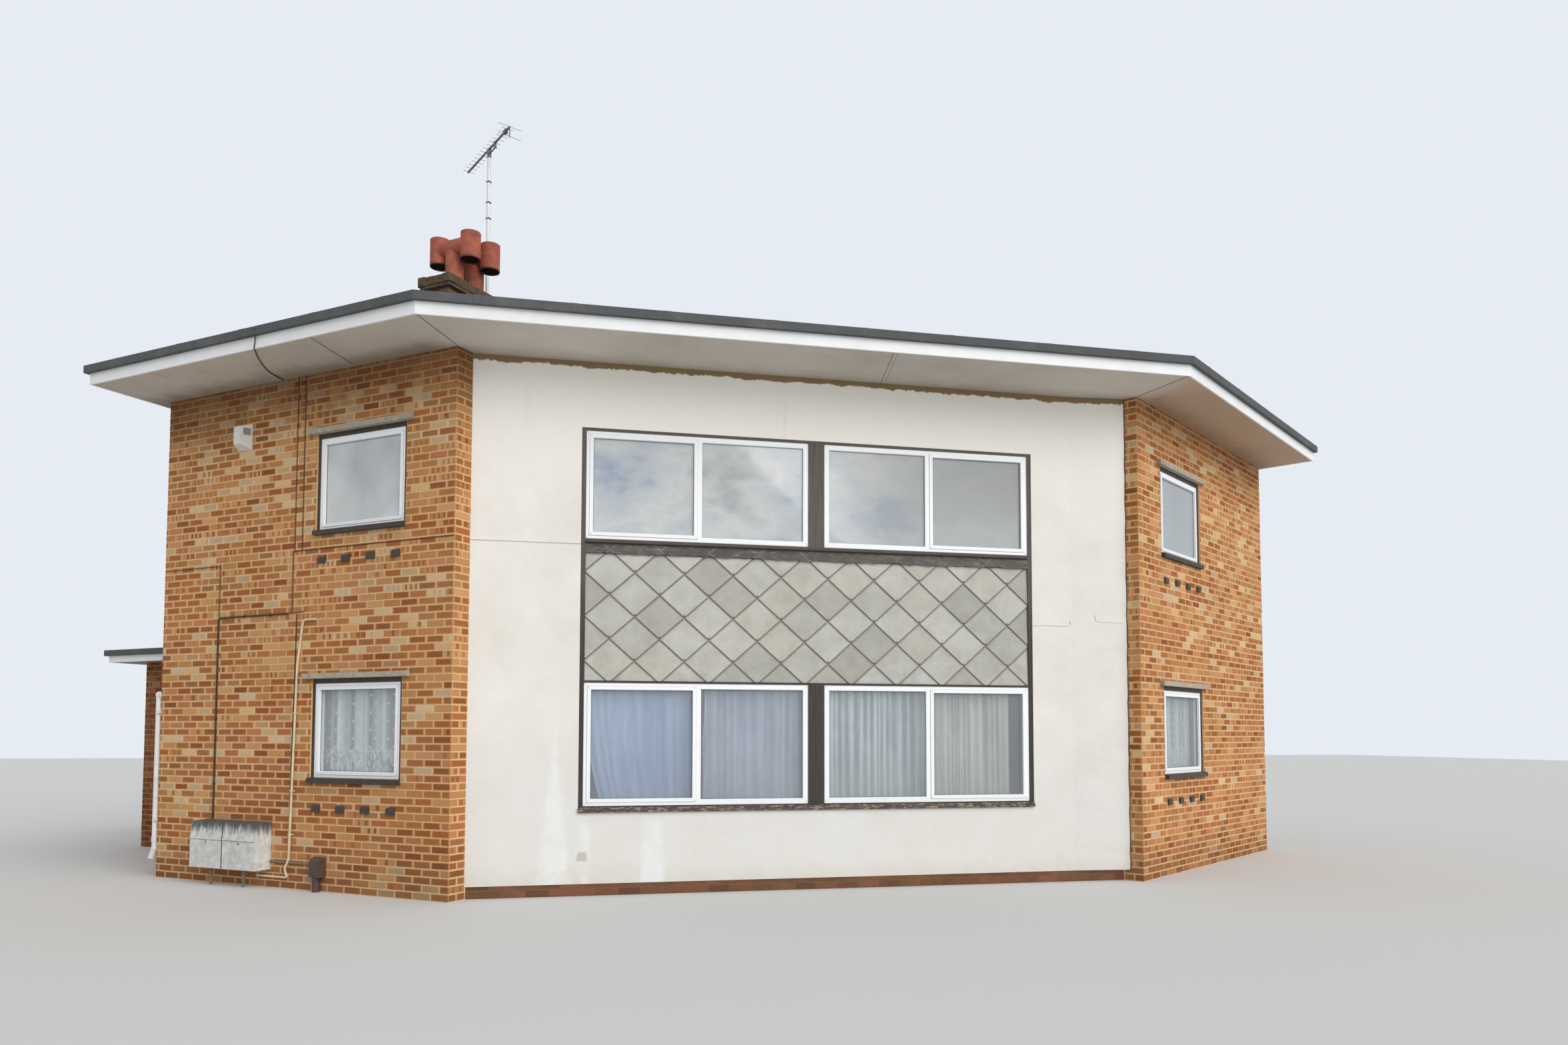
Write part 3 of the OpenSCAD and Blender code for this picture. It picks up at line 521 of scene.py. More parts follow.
def slate_material():
    """Pale cement slates, each of its own tone, with dark seams that are partly weathered rims and partly
    painted shade along each lower edge, and a painted shadow under each tail.
    """
    shade = Shader("cement_slate", 0.8, 0.25)
    tone, _, _, wet = shade.attribute("tones")
    u, v, _ = shade.axes(shade.flat())
    colour = tone.ramp(
        (0.0, 184, 183, 176),
        (0.3, 196, 195, 189),
        (0.6, 200, 199, 193),
        (0.8, 198, 195, 185),
        (1.0, 176, 175, 168),
    )
    cloudy = shade.noise(5, 6, 0.65).ramp((0.3, 206, 204, 196), (0.7, 255, 255, 255))
    colour = colour.mix(0.5, cloudy, "MULTIPLY")
    colour = colour.mix(shade.noise(11, 5, 0.7, (1, 1, 0.12)).step(0.6, 0.8) * 0.35, (150, 149, 141))
    reach = abs(u) + abs(v) + (shade.noise(30, 3, 0.6) - 0.5) * 0.03
    lower = v.step(0.02, -0.02)
    # Dark seams along each lower edge: partly weathered rims, partly painted shade
    colour = colour.mix(reach.step(0.93, 0.965) * lower * 0.85, (94, 91, 83))
    # Painted shadow under the tails of the slates above
    colour = colour.mix(reach.step(0.86, 0.99) * (1.0 - lower) * 0.5, (118, 116, 106))
    colour = colour.mix(wet * shade.noise(6, 6, 0.7).step(0.4, 0.7) * 0.35, (124, 121, 112))
    return shade.done(colour, (shade.noise(150, 4, 0.6), 0.25, 0.0015))


def lead_material():
    """Dull lead, scuffed, with a painted highlight along the ridges where the slates show through it."""
    shade = Shader("dull_lead", 0.6, 0.5, 0.35)
    ridge, drop, _, _ = shade.attribute("tones")
    runs = shade.noise(7, 6, 0.7, (1, 1, 2.2))
    colour = runs.ramp((0.3, 68, 64, 59), (0.55, 85, 81, 75), (0.8, 118, 114, 106))
    # Painted highlight along the ridges
    colour = colour.mix(ridge * shade.noise(24, 4, 0.6).step(0.35, 0.6) * 0.45, (150, 147, 140))
    colour = colour.mix(shade.noise(1, 6, 0.7, (5, 1, 60)).step(0.58, 0.66) * 0.5, (156, 154, 147))
    colour = colour.mix(drop.step(0.10, 0.0) * 0.6, (62, 58, 54))
    return shade.done(colour, (runs, 0.3, 0.003))


def upper_glass_material():
    """Panes with a painted reflection of a cloudy sky, paler low on the left and with darker painted
    reflections towards the upper right.
    """
    shade = Shader("upper_panes", 0.04, 0.9)
    x, _, z = shade.axes()
    # Painted reflection of a cloudy sky
    sky_reflection = shade.noise(1, 5, 0.55, (0.9, 1.0, 1.5))
    colour = sky_reflection.ramp((0.34, 150, 170, 200), (0.45, 206, 214, 222), (0.56, 232, 234, 234),
                       (0.70, 186, 190, 192))
    # Painted reflections, darker towards the upper right and over the right-hand panes
    dark_reflection = x.step(-0.3, 2.6) * (z - x * 0.10).step(3.1, 4.2)
    colour = colour.mix(dark_reflection * 0.85, (98, 104, 102))
    colour = colour.mix(x.step(-0.3, 1.2) * 0.6, (134, 140, 136))
    return shade.done(colour, alpha=0.6)


def concrete_material(name, light=(150, 147, 138), dark=(110, 106, 98), moss=(92, 92, 70)):
    """Cast stone or mortar, mottled and in patches mossy."""
    shade = Shader(name, 0.92, 0.2)
    colour = shade.noise(16, 7, 0.7).ramp((0.3, *dark), (0.65, *light))
    colour = colour.mix(shade.noise(5, 6, 0.7).step(0.5, 0.75) * 0.5, moss)
    return shade.done(colour, (shade.noise(130, 5, 0.7), 0.6, 0.003))


def glass_material(name, colour, alpha, roughness=0.03):
    """Glass that lets the room show through a pale veil, a painted reflection of daylight."""
    shade = Shader(name, roughness, 0.9)
    # The pale colour over the room is a painted reflection of daylight
    thin = [c - 14 for c in colour]
    return shade.done(shade.noise(1.1, 4, 0.55).ramp((0.3, *thin), (0.7, *colour)), alpha=alpha)


def wing_glass_material():
    """Obscured panes on the first floor and clear panes below."""
    shade = Shader("wing_panes", 0.1, 0.7)
    x, _, z = shade.axes()
    upper = z.step(2.7, 2.9)
    cloudy = shade.noise(1.5, 3, 0.5).ramp((0.32, 178, 183, 187), (0.62, 214, 218, 217))
    cloudy = cloudy.mix(x.step(0.0, 1.0) * 0.85, (158, 166, 171))
    # The clear panes' pale colour is a painted reflection of daylight
    colour = shade.mix(upper, (206, 216, 220), cloudy)
    pebbles = shade.cells({"Vector": shade.coords(), "Scale": 160.0}) * upper
    return shade.done(colour, (pebbles, 0.35, 0.002), upper * 0.3 + 0.04, upper * 0.74 + 0.2)


def net_material(name, light, dark, foot, alpha=0.93, pleats=0.5):
    """Thin woven cloth whose folds and creases show by painted shade and painted light, duller towards its
    foot.
    """
    shade = Shader(name, 0.9, 0.1)
    tone, drop, _, _ = shade.attribute("tones")
    fine = shade.noise(1, 5, 0.6, (22, 22, 0.5)) * 1.5 + shade.noise(1, 5, 0.65, (5, 5, 2.2), 0.8) * 0.9
    # The tones attribute paints shade into the back of each fold and light onto its front; pleats sets how
    # strongly
    colour = ((tone - 0.5) * pleats + (fine - 0.7)).ramp((0.1, *dark), (0.9, *light))
    colour = colour.mix(drop.step(0.4, 1.0) * 0.5, foot)
    return shade.done(colour, (shade.noise(900, 2), 0.3, 0.001), alpha=alpha)


def blind_material():
    """Pale blind cloth, with painted shade in each pleat."""
    shade = Shader("blind_cloth", 0.9, 0.1)
    tone = shade.attribute("tones")[0] + (shade.noise(3, 4, 0.6) - 0.5) * 0.5
    colour = tone.ramp((0.0, 176, 180, 178), (1.0, 228, 230, 226))
    return shade.done(colour, (shade.noise(900, 2), 0.3, 0.001))


def lace_material():
    """Net with staggered sprigs of thicker thread, and a denser scalloped band along its foot."""
    shade = Shader("lace_net", 0.9, 0.1)
    flat = shade.flat()
    across, up, _ = shade.axes(flat)
    tone = shade.attribute("tones")[0]
    turned = {"Vector": flat, "Rotation": (0, 0, math.pi / 4), "Scale": (8.0, 8.0, 8.0)}
    turned = shade.value("ShaderNodeMapping", turned)
    sprigs = shade.cells({"Vector": turned, "Scale": 1.0, "Randomness": 0.0}).step(0.15, 0.07)
    edge = up - (shade.math("SINE", across * 88.0, 0.0) * 0.010 + 0.235)
    band = edge.step(0.004, -0.004)
    ruffle = shade.noise(1, 3, 0.5, (34, 7, 1), 1.4, flat)
    frill = ruffle.ramp((0.42, 150, 158, 156), (0.58, 240, 243, 241))
    # Painted shade and light of the folds come in through the tones attribute
    colour = tone.ramp((0.1, 168, 178, 175), (0.9, 244, 250, 245)).mix(band * 0.75, frill)
    colour = colour.mix(sprigs, (242, 246, 246))
    colour = colour.mix(abs(edge).step(0.010, 0.004) * 0.8, (236, 240, 239))
    colour = colour.mix(shade.axes()[0].step(0.0, 1.0) * 0.56, (120, 134, 136))
    cover = tone * 0.22 + 0.77 + band * 0.2
    return shade.done(colour, alpha=(cover + sprigs).clamped())


def terracotta_material():
    """Clay pots, sooty round their open lower ends."""
    shade = Shader("clay", 0.75, 0.3)
    x, y, z = shade.axes()
    colour = shade.noise(6, 5, 0.6).ramp((0.3, 148, 80, 64), (0.7, 192, 108, 84))
    colour = colour.mix(shade.noise(5, 6, 0.7).step(0.46, 0.7) * 0.5, (100, 66, 58))
    ragged = z + shade.noise(16, 5, 0.7) * 0.06
    rim = ragged.step(POT_FOOT + 0.062, POT_FOOT + 0.030) * z.step(POT_FOOT - 0.03, POT_FOOT - 0.01)
    along = x * LEFT.along.x + y * LEFT.along.y
    middle = LEFT.origin.dot(LEFT.along) + sum(STACK_S) / 2
    rim = rim * abs(along - middle).step(0.105, 0.125)
    colour = colour.mix(rim * 0.85, (52, 40, 36))
    return shade.done(colour, (shade.noise(90, 4), 0.2, 0.002))


def meter_material():
    """Glass-fibre boxes bleached by weather, with black mould that drips down their lids."""
    shade = Shader("weathered_fibre", 0.7, 0.3)
    body = shade.noise(11, 7, 0.75)
    colour = body.ramp((0.32, 180, 180, 175), (0.60, 221, 222, 220))
    colour = colour.mix(shade.noise(60, 5, 0.75).step(0.6, 0.7) * 0.4, (130, 130, 122))
    depth = shade.axes()[2] + (shade.noise(1, 6, 0.7, (26, 26, 5)) - 0.5) * 0.34
    mould = depth.step(METER_Z + 0.70 * METER_H, METER_Z + 0.96 * METER_H)
    return shade.done(colour.mix(mould * 0.9, (52, 52, 48)), (body, 0.25, 0.002))


def cable_material():
    """Dark cable, brown with dust."""
    shade = Shader("cable")
    colour = shade.noise(20).ramp((0.3, 64, 46, 34), (0.7, 104, 76, 54))
    return shade.done(colour, (shade.noise(90, 2), 0.1, 0.001))


# Painted shade: multiplied into the side store's bricks and mortar to darken them as walls in shade
STORE_SHADE = (184, 166, 156)
MATERIALS = {
    "brick": brick_material(),
    "mortar": mortar_material(),
    "store_brick": brick_material("store_brick_faces", STORE_SHADE),
    "store_mortar": mortar_material("store_mortar", STORE_SHADE),
    "plinth": plinth_material(),
    "red_brick": red_brick_material(),
    "render": render_material(),
    "soffit": soffit_material(),
    "upvc": upvc_material(),
    "felt": felt_material(),
    "timber": timber_material(),
    "timber_sill": sill_material(),
    "slate": slate_material(),
    "lead": lead_material(),
    "cap": concrete_material("chimney_cap_stone", (108, 92, 72), (60, 50, 41), (140, 130, 104)),
    "hood": concrete_material("hood_stone", (188, 178, 161), (158, 148, 132), (132, 126, 108)),
    "cap_mortar": concrete_material("cap_mortar", (112, 98, 80), (76, 65, 54), (128, 120, 96)),
    "floor_slab": concrete_material("slab_concrete"),
    "glass": glass_material("clear_panes", (206, 214, 222), 0.22),
    "rear_glass": glass_material("rear_panes", (176, 186, 194), 0.6, 0.08),
    "upper_glass": upper_glass_material(),
    "wing_glass": wing_glass_material(),
    "blue_net": net_material("blue_net", (178, 198, 228), (134, 158, 194), (126, 148, 180), 0.96, 0.25),
    "lilac_net": net_material("lilac_net", (190, 198, 214), (138, 152, 170), (154, 164, 176), 0.93, 0.4),
    "grey_net": net_material("grey_net", (222, 232, 230), (140, 154, 154), (156, 166, 162), 0.93, 0.8),
    "cream_net": net_material("cream_net", (214, 213, 198), (152, 157, 146), (172, 174, 162), 0.94, 0.7),
    "blind": blind_material(),
    "lace": lace_material(),
    "clay": terracotta_material(),
    "meter": meter_material(),
    "cable": cable_material(),
}

# Plain surfaces: colour, dirt, its amount and scale, roughness, grain and its strength, metallic, specular
PLAIN = {
    "fascia": ((238, 239, 240), (196, 194, 186), 0.2, 2.5, 0.35, 80, 0.05),
    "stained_timber": ((60, 53, 48), (92, 84, 76), 0.4, 9.0, 0.6, 60, 0.3),
    "soot": ((38, 32, 30), (58, 50, 46), 0.4, 20, 0.9, 200, 0.3, 0.0, 0.1),
    "rivet": ((128, 122, 110), (98, 90, 80), 0.5, 40, 0.7, 200, 0.1),
    "bead": ((236, 236, 230), (190, 186, 176), 0.3, 40, 0.6, 300, 0.2),
    "vent": ((64, 61, 57), (98, 94, 86), 0.4, 30, 0.7, 200, 0.3),
    "zinc": ((228, 230, 234), (176, 176, 172), 0.3, 12, 0.45, 90, 0.1, 0.1),
    "aerial": ((112, 114, 116), (70, 68, 66), 0.5, 20, 0.5, 90, 0.1, 0.5),
    "leg": ((132, 120, 104), (90, 80, 68), 0.5, 12, 0.8, 80, 0.3),
    "alarm": ((226, 224, 218), (176, 170, 158), 0.3, 9, 0.5, 120, 0.08),
    "dark": ((52, 38, 32), (84, 66, 56), 0.4, 14, 0.5, 120, 0.1),
    "cowl": ((88, 66, 60), (62, 50, 46), 0.5, 12, 0.6, 120, 0.2),
    "cream": ((216, 204, 168), (158, 142, 106), 0.4, 10, 0.5, 120, 0.1),
    "white_pipe": ((226, 227, 224), (172, 170, 160), 0.35, 7, 0.4, 90, 0.06),
    "door": ((92, 68, 52), (58, 44, 36), 0.5, 5, 0.55, 50, 0.3),
    "plaster": ((206, 202, 194), (180, 174, 164), 0.3, 3, 0.8, 80, 0.1),
    "gasket": ((40, 40, 42), (66, 64, 62), 0.3, 40, 0.7, 200, 0.05),
    # Painted shadow: dark lines for the shade in open joints and gaps and along edges
    "shade_line": ((84, 80, 74), (56, 52, 48), 0.4, 30, 0.9, 200, 0.1),
    # Weld lines at frame corners, and painted shadow in the gap round each opening light
    "weld_and_shadow_line": ((182, 181, 177), (140, 138, 132), 0.4, 30, 0.7, 200, 0.1),
}
for key, numbers in PLAIN.items():
    MATERIALS[key] = plain_material(f"plain_{key}", *numbers)


def piece(obj, material, slot, *replaced):
    """Gives a new object its material, hangs it under the root body and hides the CAD parts that it
    replaces; its slot is not used.
    """
    obj.data.materials.clear()
    obj.data.materials.append(MATERIALS[material])
    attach(obj, "root")
    if replaced:
        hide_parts(*replaced)
    return obj


# Mesh building blocks


def make_object(name, verts, faces, smooth=False, uvs=None, **numbers):
    """A mesh object, with a pair for its UV map and sets of four numbers for its material a vertex."""
    mesh = bpy.data.meshes.new(name)
    mesh.from_pydata([tuple(v) for v in verts], [], faces)
    mesh.validate()
    if smooth:
        mesh.shade_smooth()
    for key, values in numbers.items():
        attribute = mesh.attributes.new(key, "FLOAT_COLOR", "POINT")
        attribute.data.foreach_set("color", np.array(values, dtype=np.float32).ravel())
    if uvs:
        index = np.empty(len(mesh.loops), dtype=np.int32)
        mesh.loops.foreach_get("vertex_index", index)
        layer = mesh.uv_layers.new(name="UVMap")
        layer.data.foreach_set("uv", np.array(uvs, dtype=np.float32)[index].ravel())
    obj = bpy.data.objects.new(name, mesh)
    bpy.context.scene.collection.objects.link(obj)
    return obj


def corners(s0, s1, z0, z1, inset=0.0):
    """The four corners of a rectangle drawn in by an inset."""
    a, b, c, d = s0 + inset, s1 - inset, z0 + inset, z1 - inset
    return [(a, c), (b, c), (b, d), (a, d)]


class Build:
    """Collects faces given in a wall's own axes, wound so that they face outwards."""

    def __init__(self, name):
        self.name = name
        self.verts = []
        self.faces = []

    def add(self, wall, points, faces):
        """Faces between points of (along, out, up)."""
        first = len(self.verts)
        self.verts += [wall.at(*p) for p in points]
        for face in faces:
            face = [first + i for i in face]
            self.faces.append(face[::-1] if wall.flip else face)

    def block(self, wall, s, out, z, chamfer=0.0):
        """A block between two distances along, out and up, with chamfered front edges."""
        (s0, s1), (o0, o1), (z0, z1) = s, out, z
        c = min(chamfer, (s1 - s0) / 3, (z1 - z0) / 3)
        points = [(a, out, b) for out in (o0, o1 - c) for a, b in corners(s0, s1, z0, z1)]
        faces = [(0, 4, 5, 1), (1, 5, 6, 2), (3, 2, 6, 7), (0, 3, 7, 4), (0, 1, 2, 3)]
        if c > 0:
            points += [(a, o1, b) for a, b in corners(s0, s1, z0, z1, c)]
            faces += [(4, 8, 9, 5), (5, 9, 10, 6), (7, 6, 10, 11), (4, 7, 11, 8), (8, 11, 10, 9)]
        else:
            faces += [(4, 7, 6, 5)]
        self.add(wall, points, faces)

    def ring(self, wall, s, z, profile):
        """A profile of (inset, out) points run round a rectangle with mitred corners."""
        points = [(a, out, b) for inset, out in profile for a, b in corners(*s, *z, inset)]
        faces = []
        for k in range(len(profile) - 1):
            for i in range(4):
                j = (i + 1) % 4
                a, b = 4 * k + i, 4 * k + j
                faces.append((a, a + 4, b + 4, b))
        self.add(wall, points, faces)

    def piece(self, material, slot, *replaced):
        return piece(make_object(self.name, self.verts, self.faces), material, slot, *replaced)


def tube(name, points, diameter, resolution=3):
    """A round cable or pipe through a list of points."""
    curve = bpy.data.curves.new(name, "CURVE")
    curve.dimensions = "3D"
    curve.bevel_depth = diameter / 2
    curve.bevel_resolution = resolution
    curve.use_fill_caps = True
    spline = curve.splines.new("POLY")
    spline.points.add(len(points) - 1)
    for target, point in zip(spline.points, points):
        target.co = (*point, 1)
    obj = bpy.data.objects.new(name, curve)
    bpy.context.scene.collection.objects.link(obj)
    return obj


def smooth_path(points, steps=6):
    """A soft curve through a few points, for a cable that sags or bends."""
    result = []
    padded = [points[0], *points, points[-1]]
    for i in range(1, len(padded) - 2):
        before, start, end, after = padded[i - 1 : i + 3]
        for k in range(steps):
            t = k / steps
            bend = 2 * before - 5 * start + 4 * end - after
            twist = 3 * start - before - 3 * end + after
            result.append(0.5 * (2 * start + (end - before) * t + bend * t * t + twist * t**3))
    return result + [points[-1]]


# Bricks


def without_holes(rect, holes):
    """What is left of a rectangle (s0, s1, z0, z1) once the holes are cut out of it."""
    left = [rect]
    for h0, h1, g0, g1 in holes:
        rest = []
        for s0, s1, z0, z1 in left:
            if h1 <= s0 or h0 >= s1 or g1 <= z0 or g0 >= z1:
                rest.append((s0, s1, z0, z1))
                continue
            if g0 > z0:
                rest.append((s0, s1, z0, g0))
            if g1 < z1:
                rest.append((s0, s1, g1, z1))
            low, high = max(z0, g0), min(z1, g1)
            if h0 > s0:
                rest.append((s0, h0, low, high))
            if h1 < s1:
                rest.append((h1, s1, low, high))
        left = rest
    return [r for r in left if r[1] - r[0] > 0.012 and r[3] - r[2] > 0.008]


def course_bricks(length, odd):
    """Start and end of each brick in a course: stretchers, with a header first in every other course."""
    s = 0.0
    size = BRICK_HEAD if odd else BRICK_L
    while s < length - 0.02:
        yield s, min(s + size, length)
        s += size + JOINT
        size = BRICK_L


def kiss_marks(rng, header, shift):
    """Middle and half width of three dark marks on one brick, and how dark they are."""
    kind = rng.random() + shift
    deep = rng.uniform(0.5, 1.0)
    if kind < 0.46:
        middle, reach = (0.24, 0.208) if header else (0.5, 0.468)
        return (middle, reach * rng.uniform(0.93, 1.0), 0.5, 0, 0.5, 0, rng.uniform(0.45, 1.0))
    if kind < 0.68:
        return (0.5, 0, 0.5, 0, 0.5, 0, 0)
    if header or kind < 0.77:
        middle = rng.uniform(0.12, 0.34) if header else rng.uniform(0.2, 0.8)
        return (middle, rng.uniform(0.07, 0.15), 0.5, 0, 0.5, 0, deep)
    if kind < 0.90:
        first = rng.uniform(0.12, 0.3)
        gap = rng.uniform(0.28, 0.5)
        wide = rng.uniform(0.06, 0.17)
        return (first, wide, first + gap, wide * rng.uniform(0.5, 1.2), 0.5, 0, deep)
    first = rng.uniform(0.1, 0.2)
    wide = rng.uniform(0.04, 0.09)
    return (first, wide, first + 0.3, wide, first + 0.6, wide, deep)


def brick_field(name, wall, length, top, holes=(), seed=1, first=0, material="brick", slot="brick",
                tones=(0.0, 1.0), redness=None, burnt=None, out=BRICK_OUT, foot=0.0):
    """All the bricks of one wall, as one mesh that stands a little out of the mortar."""
    rng = random.Random(seed)
    verts, uvs, marks, toned, faces = [], [], [], [], []
    c = BRICK_CHAMFER
    courses = int(math.ceil((top - foot) / COURSE))
    quads = [(8, 11, 10, 9), (4, 8, 9, 5), (5, 9, 10, 6), (7, 6, 10, 11), (4, 7, 11, 8),
             (0, 4, 5, 1), (1, 5, 6, 2), (3, 2, 6, 7), (0, 3, 7, 4)]
    for k in range(courses):
        z0 = foot + k * COURSE + JOINT / 2
        z1 = min(z0 + BRICK_H, top)
        if z1 - z0 < 0.01:
            continue
        for s0, s1 in course_bricks(length, (k + first) % 2 == 1):
            header = s1 - s0 < BRICK_L * 0.7
            shift = 0.10 * math.sin(s0 * 1.7 + z0 * 2.3 + seed) + 0.06 * math.sin(s0 * 5.1 - z0 * 4.3)
            if burnt:
                shift -= burnt(z0)
            numbers = kiss_marks(rng, header, shift)
            tone = rng.betavariate(1.1, 1.5) if rng.random() < 0.88 else rng.uniform(0.70, 1.0)
            if redness and rng.random() < redness(z0):
                tone = rng.choice((0.68, 0.72, 0.76))
            tone = tones[0] + (tones[1] - tones[0]) * tone
            lift = rng.uniform(-0.0007, 0.0007)
            tilt = rng.uniform(-0.0006, 0.0006)
            for a0, a1, b0, b1 in without_holes((s0, s1, z0, z1), holes):
                base = len(verts)
                front = out + lift
                points = [(a, y, b) for y in (-0.001, front - c) for a, b in corners(a0, a1, b0, b1)]
                for a, b in corners(a0, a1, b0, b1, c):
                    points.append((a, front + tilt * (1 if b > z0 + 0.03 else -1), b))
                verts += [wall.at(*p) for p in points]
                uvs += [((p[0] - s0) / BRICK_L, (p[2] - z0) / BRICK_H) for p in points]
                marks += [numbers[0:4]] * 12
                toned += [(tone, numbers[4], numbers[5], numbers[6])] * 12
                for quad in quads:
                    quad = [base + i for i in quad]
                    faces.append(quad[::-1] if wall.flip else quad)
    piece(make_object(name, verts, faces, uvs=uvs, marks=marks, tones=toned), material, slot)


OPEN_W = WIN_W + 2 * SUB_SIDE
OPEN_H = SILL_T + WIN_H + SUB_HEAD


def window_holes(middle, storeys=STOREYS):
    """The holes that a window and its hood leave in a wall's bricks."""
    holes = []
    for z in storeys:
        head = z + OPEN_H
        for half, low, high in ((OPEN_W / 2 + 0.004, z, head), (HOOD_LEN / 2, head, head + HOOD_T)):
            holes.append((middle - half, middle + half, low - 0.002, high))
    return holes


def lay_bricks():
    """The bricks of every brick wall, each field with its own seed, bond and scorch marks."""
    store_end = Wall(LEFT.at(WING_LEN + STORE_W, -STORE_D, 0).xy, -LEFT.out.xy, LEFT.along.xy)
    store_back = Wall(LEFT.at(WING_LEN, -STORE_D - STORE_L, 0).xy, LEFT.along.xy, -LEFT.out.xy)
    left_holes = window_holes(WIN_S)
    side_holes = window_holes(STORE_D + STORE_L / 2, STOREYS[1:])
    side_holes.append((STORE_D, STORE_D + STORE_L, 0, STORE_H + 0.165))
    back_holes = window_holes(BACK_W / 4) + window_holes(BACK_W * 3 / 4)
    door_hole = (0.9, 1.9, 0, 2.08)
    brick_field("left_wing_bricks", LEFT, WING_LEN, SOFFIT_Z, left_holes, seed=11,
                redness=lambda z: 0.25 if z < 2.4 else 0.05,
                burnt=lambda z: 0.30 * min(1, max(0, (3.2 - z) / 1.5)))
    brick_field("right_wing_bricks", RIGHT, WING_LEN, SOFFIT_Z, window_holes(WIN_S), seed=12,
                redness=lambda z: 0.45 if z < 1.9 else 0.12)
    brick_field("left_quoin_bricks", LEFT_RETURN, QUOIN_RETURN, SOFFIT_Z, seed=13, first=1,
                tones=(0.0, 0.78))
    brick_field("right_quoin_bricks", RIGHT_RETURN, QUOIN_RETURN, SOFFIT_Z, seed=14, first=1)
    brick_field("left_side_bricks", LEFT_SIDE, SIDE_LEN, SOFFIT_Z, side_holes, seed=15, first=1)
    brick_field("right_side_bricks", RIGHT_SIDE, SIDE_LEN, SOFFIT_Z, seed=16, first=1)
    brick_field("back_bricks", BACK, BACK_W, SOFFIT_Z, back_holes, seed=17)
    # The side store's bricks take the material with painted shade
    shaded_brick = "store_brick"
    brick_field("store_front_bricks", STORE_FRONT, STORE_W, STORE_H, [door_hole], seed=18, material=shaded_brick)
    brick_field("store_end_bricks", store_end, STORE_L, STORE_H, seed=19, first=1, material=shaded_brick)
    brick_field("store_back_bricks", store_back, STORE_W, STORE_H, seed=20, material=shaded_brick)


def lay_plinth():
    """The red-brown bricks under the render, between the two quoins."""
    low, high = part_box("corner_plinth")
    half = (high[0] - low[0]) / 2 - QUOIN_RETURN * SIN - 0.02
    wall = Wall((-half, low[1]), (1, 0), (0, -1))
    brick_field("plinth_bricks", wall, 2 * half, high[2] - low[2], seed=21, material="red_brick",
                slot="plinth_brick", out=0.003)


def chimney_sides(s, d):
    """Wall axes for the four upright sides of a block on the roof, and each side's length."""
    (s0, s1), (d0, d1) = s, d
    return (
        ("front", Wall(LEFT.at(s0, -d0, 0).xy, LEFT.along.xy, LEFT.out.xy), s1 - s0, 0),
        ("right", Wall(LEFT.at(s0, -d0, 0).xy, -LEFT.out.xy, -LEFT.along.xy), d1 - d0, 1),
        ("left", Wall(LEFT.at(s1, -d0, 0).xy, -LEFT.out.xy, LEFT.along.xy), d1 - d0, 1),
        ("back", Wall(LEFT.at(s0, -d1, 0).xy, LEFT.along.xy, -LEFT.out.xy), s1 - s0, 0),
    )


def lay_chimney():
    """The stack's bricks, bonded round its four corners."""
    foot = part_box("chimney_stack")[0][2]
    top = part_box("chimney_cap")[0][2]
    for key, wall, length, first in chimney_sides(STACK_S, STACK_D):
        brick_field(f"chimney_{key}_bricks", wall, length, top - 0.004, seed=30 + len(key), first=first,
                    foot=foot, out=0.003)


def crown_chimney():
    """The cap: worn bricks on edge over a thin course."""
    rng = random.Random(61)
    low, high = (corner[2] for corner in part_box("chimney_cap"))
    s = (STACK_S[0] - CAP_OUT, STACK_S[1] + CAP_OUT)
    d = (STACK_D[0] - CAP_OUT, STACK_D[1] + CAP_OUT)
    edge = Build("cap_bricks")
    for _, wall, length, _ in chimney_sides(s, d):
        count = round(length / 0.112)
        for k in range(count):
            a, b = length * k / count, length * (k + 1) / count
            if k:
                a += 0.009
            edge.block(wall, (a, b), (-0.11, -rng.uniform(0.0, 0.007)),
                       (low + 0.036 + rng.uniform(-0.003, 0.003), high - rng.uniform(0.0, 0.012)), 0.009)
    edge.piece("cap", "concrete", "chimney_cap")
    body = Build("cap_mortar")
    heights = ((0.012, (low + 0.030, high - 0.022), 0.003), (0.020, (low, low + 0.034), 0.006))
    for inset, z, chamfer in heights:
        across = (s[0] + inset, s[1] - inset)
        body.block(LEFT, across, (-d[1] + inset, -d[0] - inset), z, chamfer)
    body.piece("cap_mortar", "concrete", "chimney_cap")


def soot_in_pots():
    """A sooty disc inside each open end of the pots."""
    verts, faces = [], []
    sides, radius, thick = 24, 0.100, 0.012
    for arm in (-POT_ARM, POT_ARM):
        for share in POT_SHARES:
            deep = STACK_D[0] + (STACK_D[1] - STACK_D[0]) * share
            centre = LEFT.at((STACK_S[0] + STACK_S[1]) / 2 + arm, -deep, POT_FOOT + thick)
            first = len(verts)
            for z in (0.0, thick):
                for i in range(sides):
                    turn = 2 * math.pi * i / sides
                    verts.append(centre + Vector((radius * math.cos(turn), radius * math.sin(turn), z)))
            faces.append(tuple(first + i for i in range(sides))[::-1])
            faces.append(tuple(first + sides + i for i in range(sides)))
            for i in range(sides):
                j = (i + 1) % sides
                faces.append((first + i, first + j, first + sides + j, first + sides + i))
    piece(make_object("pot_soot", verts, faces), "soot", "terracotta")


def band_mast():
    """The clamps round the aerial's mast."""
    bands = Build("mast_bands")
    mast_d = STACK_D[1] + CAP_OUT + 0.008 + MAST_D / 2
    half = MAST_D / 2 + 0.003
    for z in MAST_BANDS:
        bands.block(LEFT, (MAST_S - half, MAST_S + half), (-mast_d - half, -mast_d + half), (z, z + 0.014),
                    0.005)
    bands.piece("vent", "dark_plastic")


# Windows


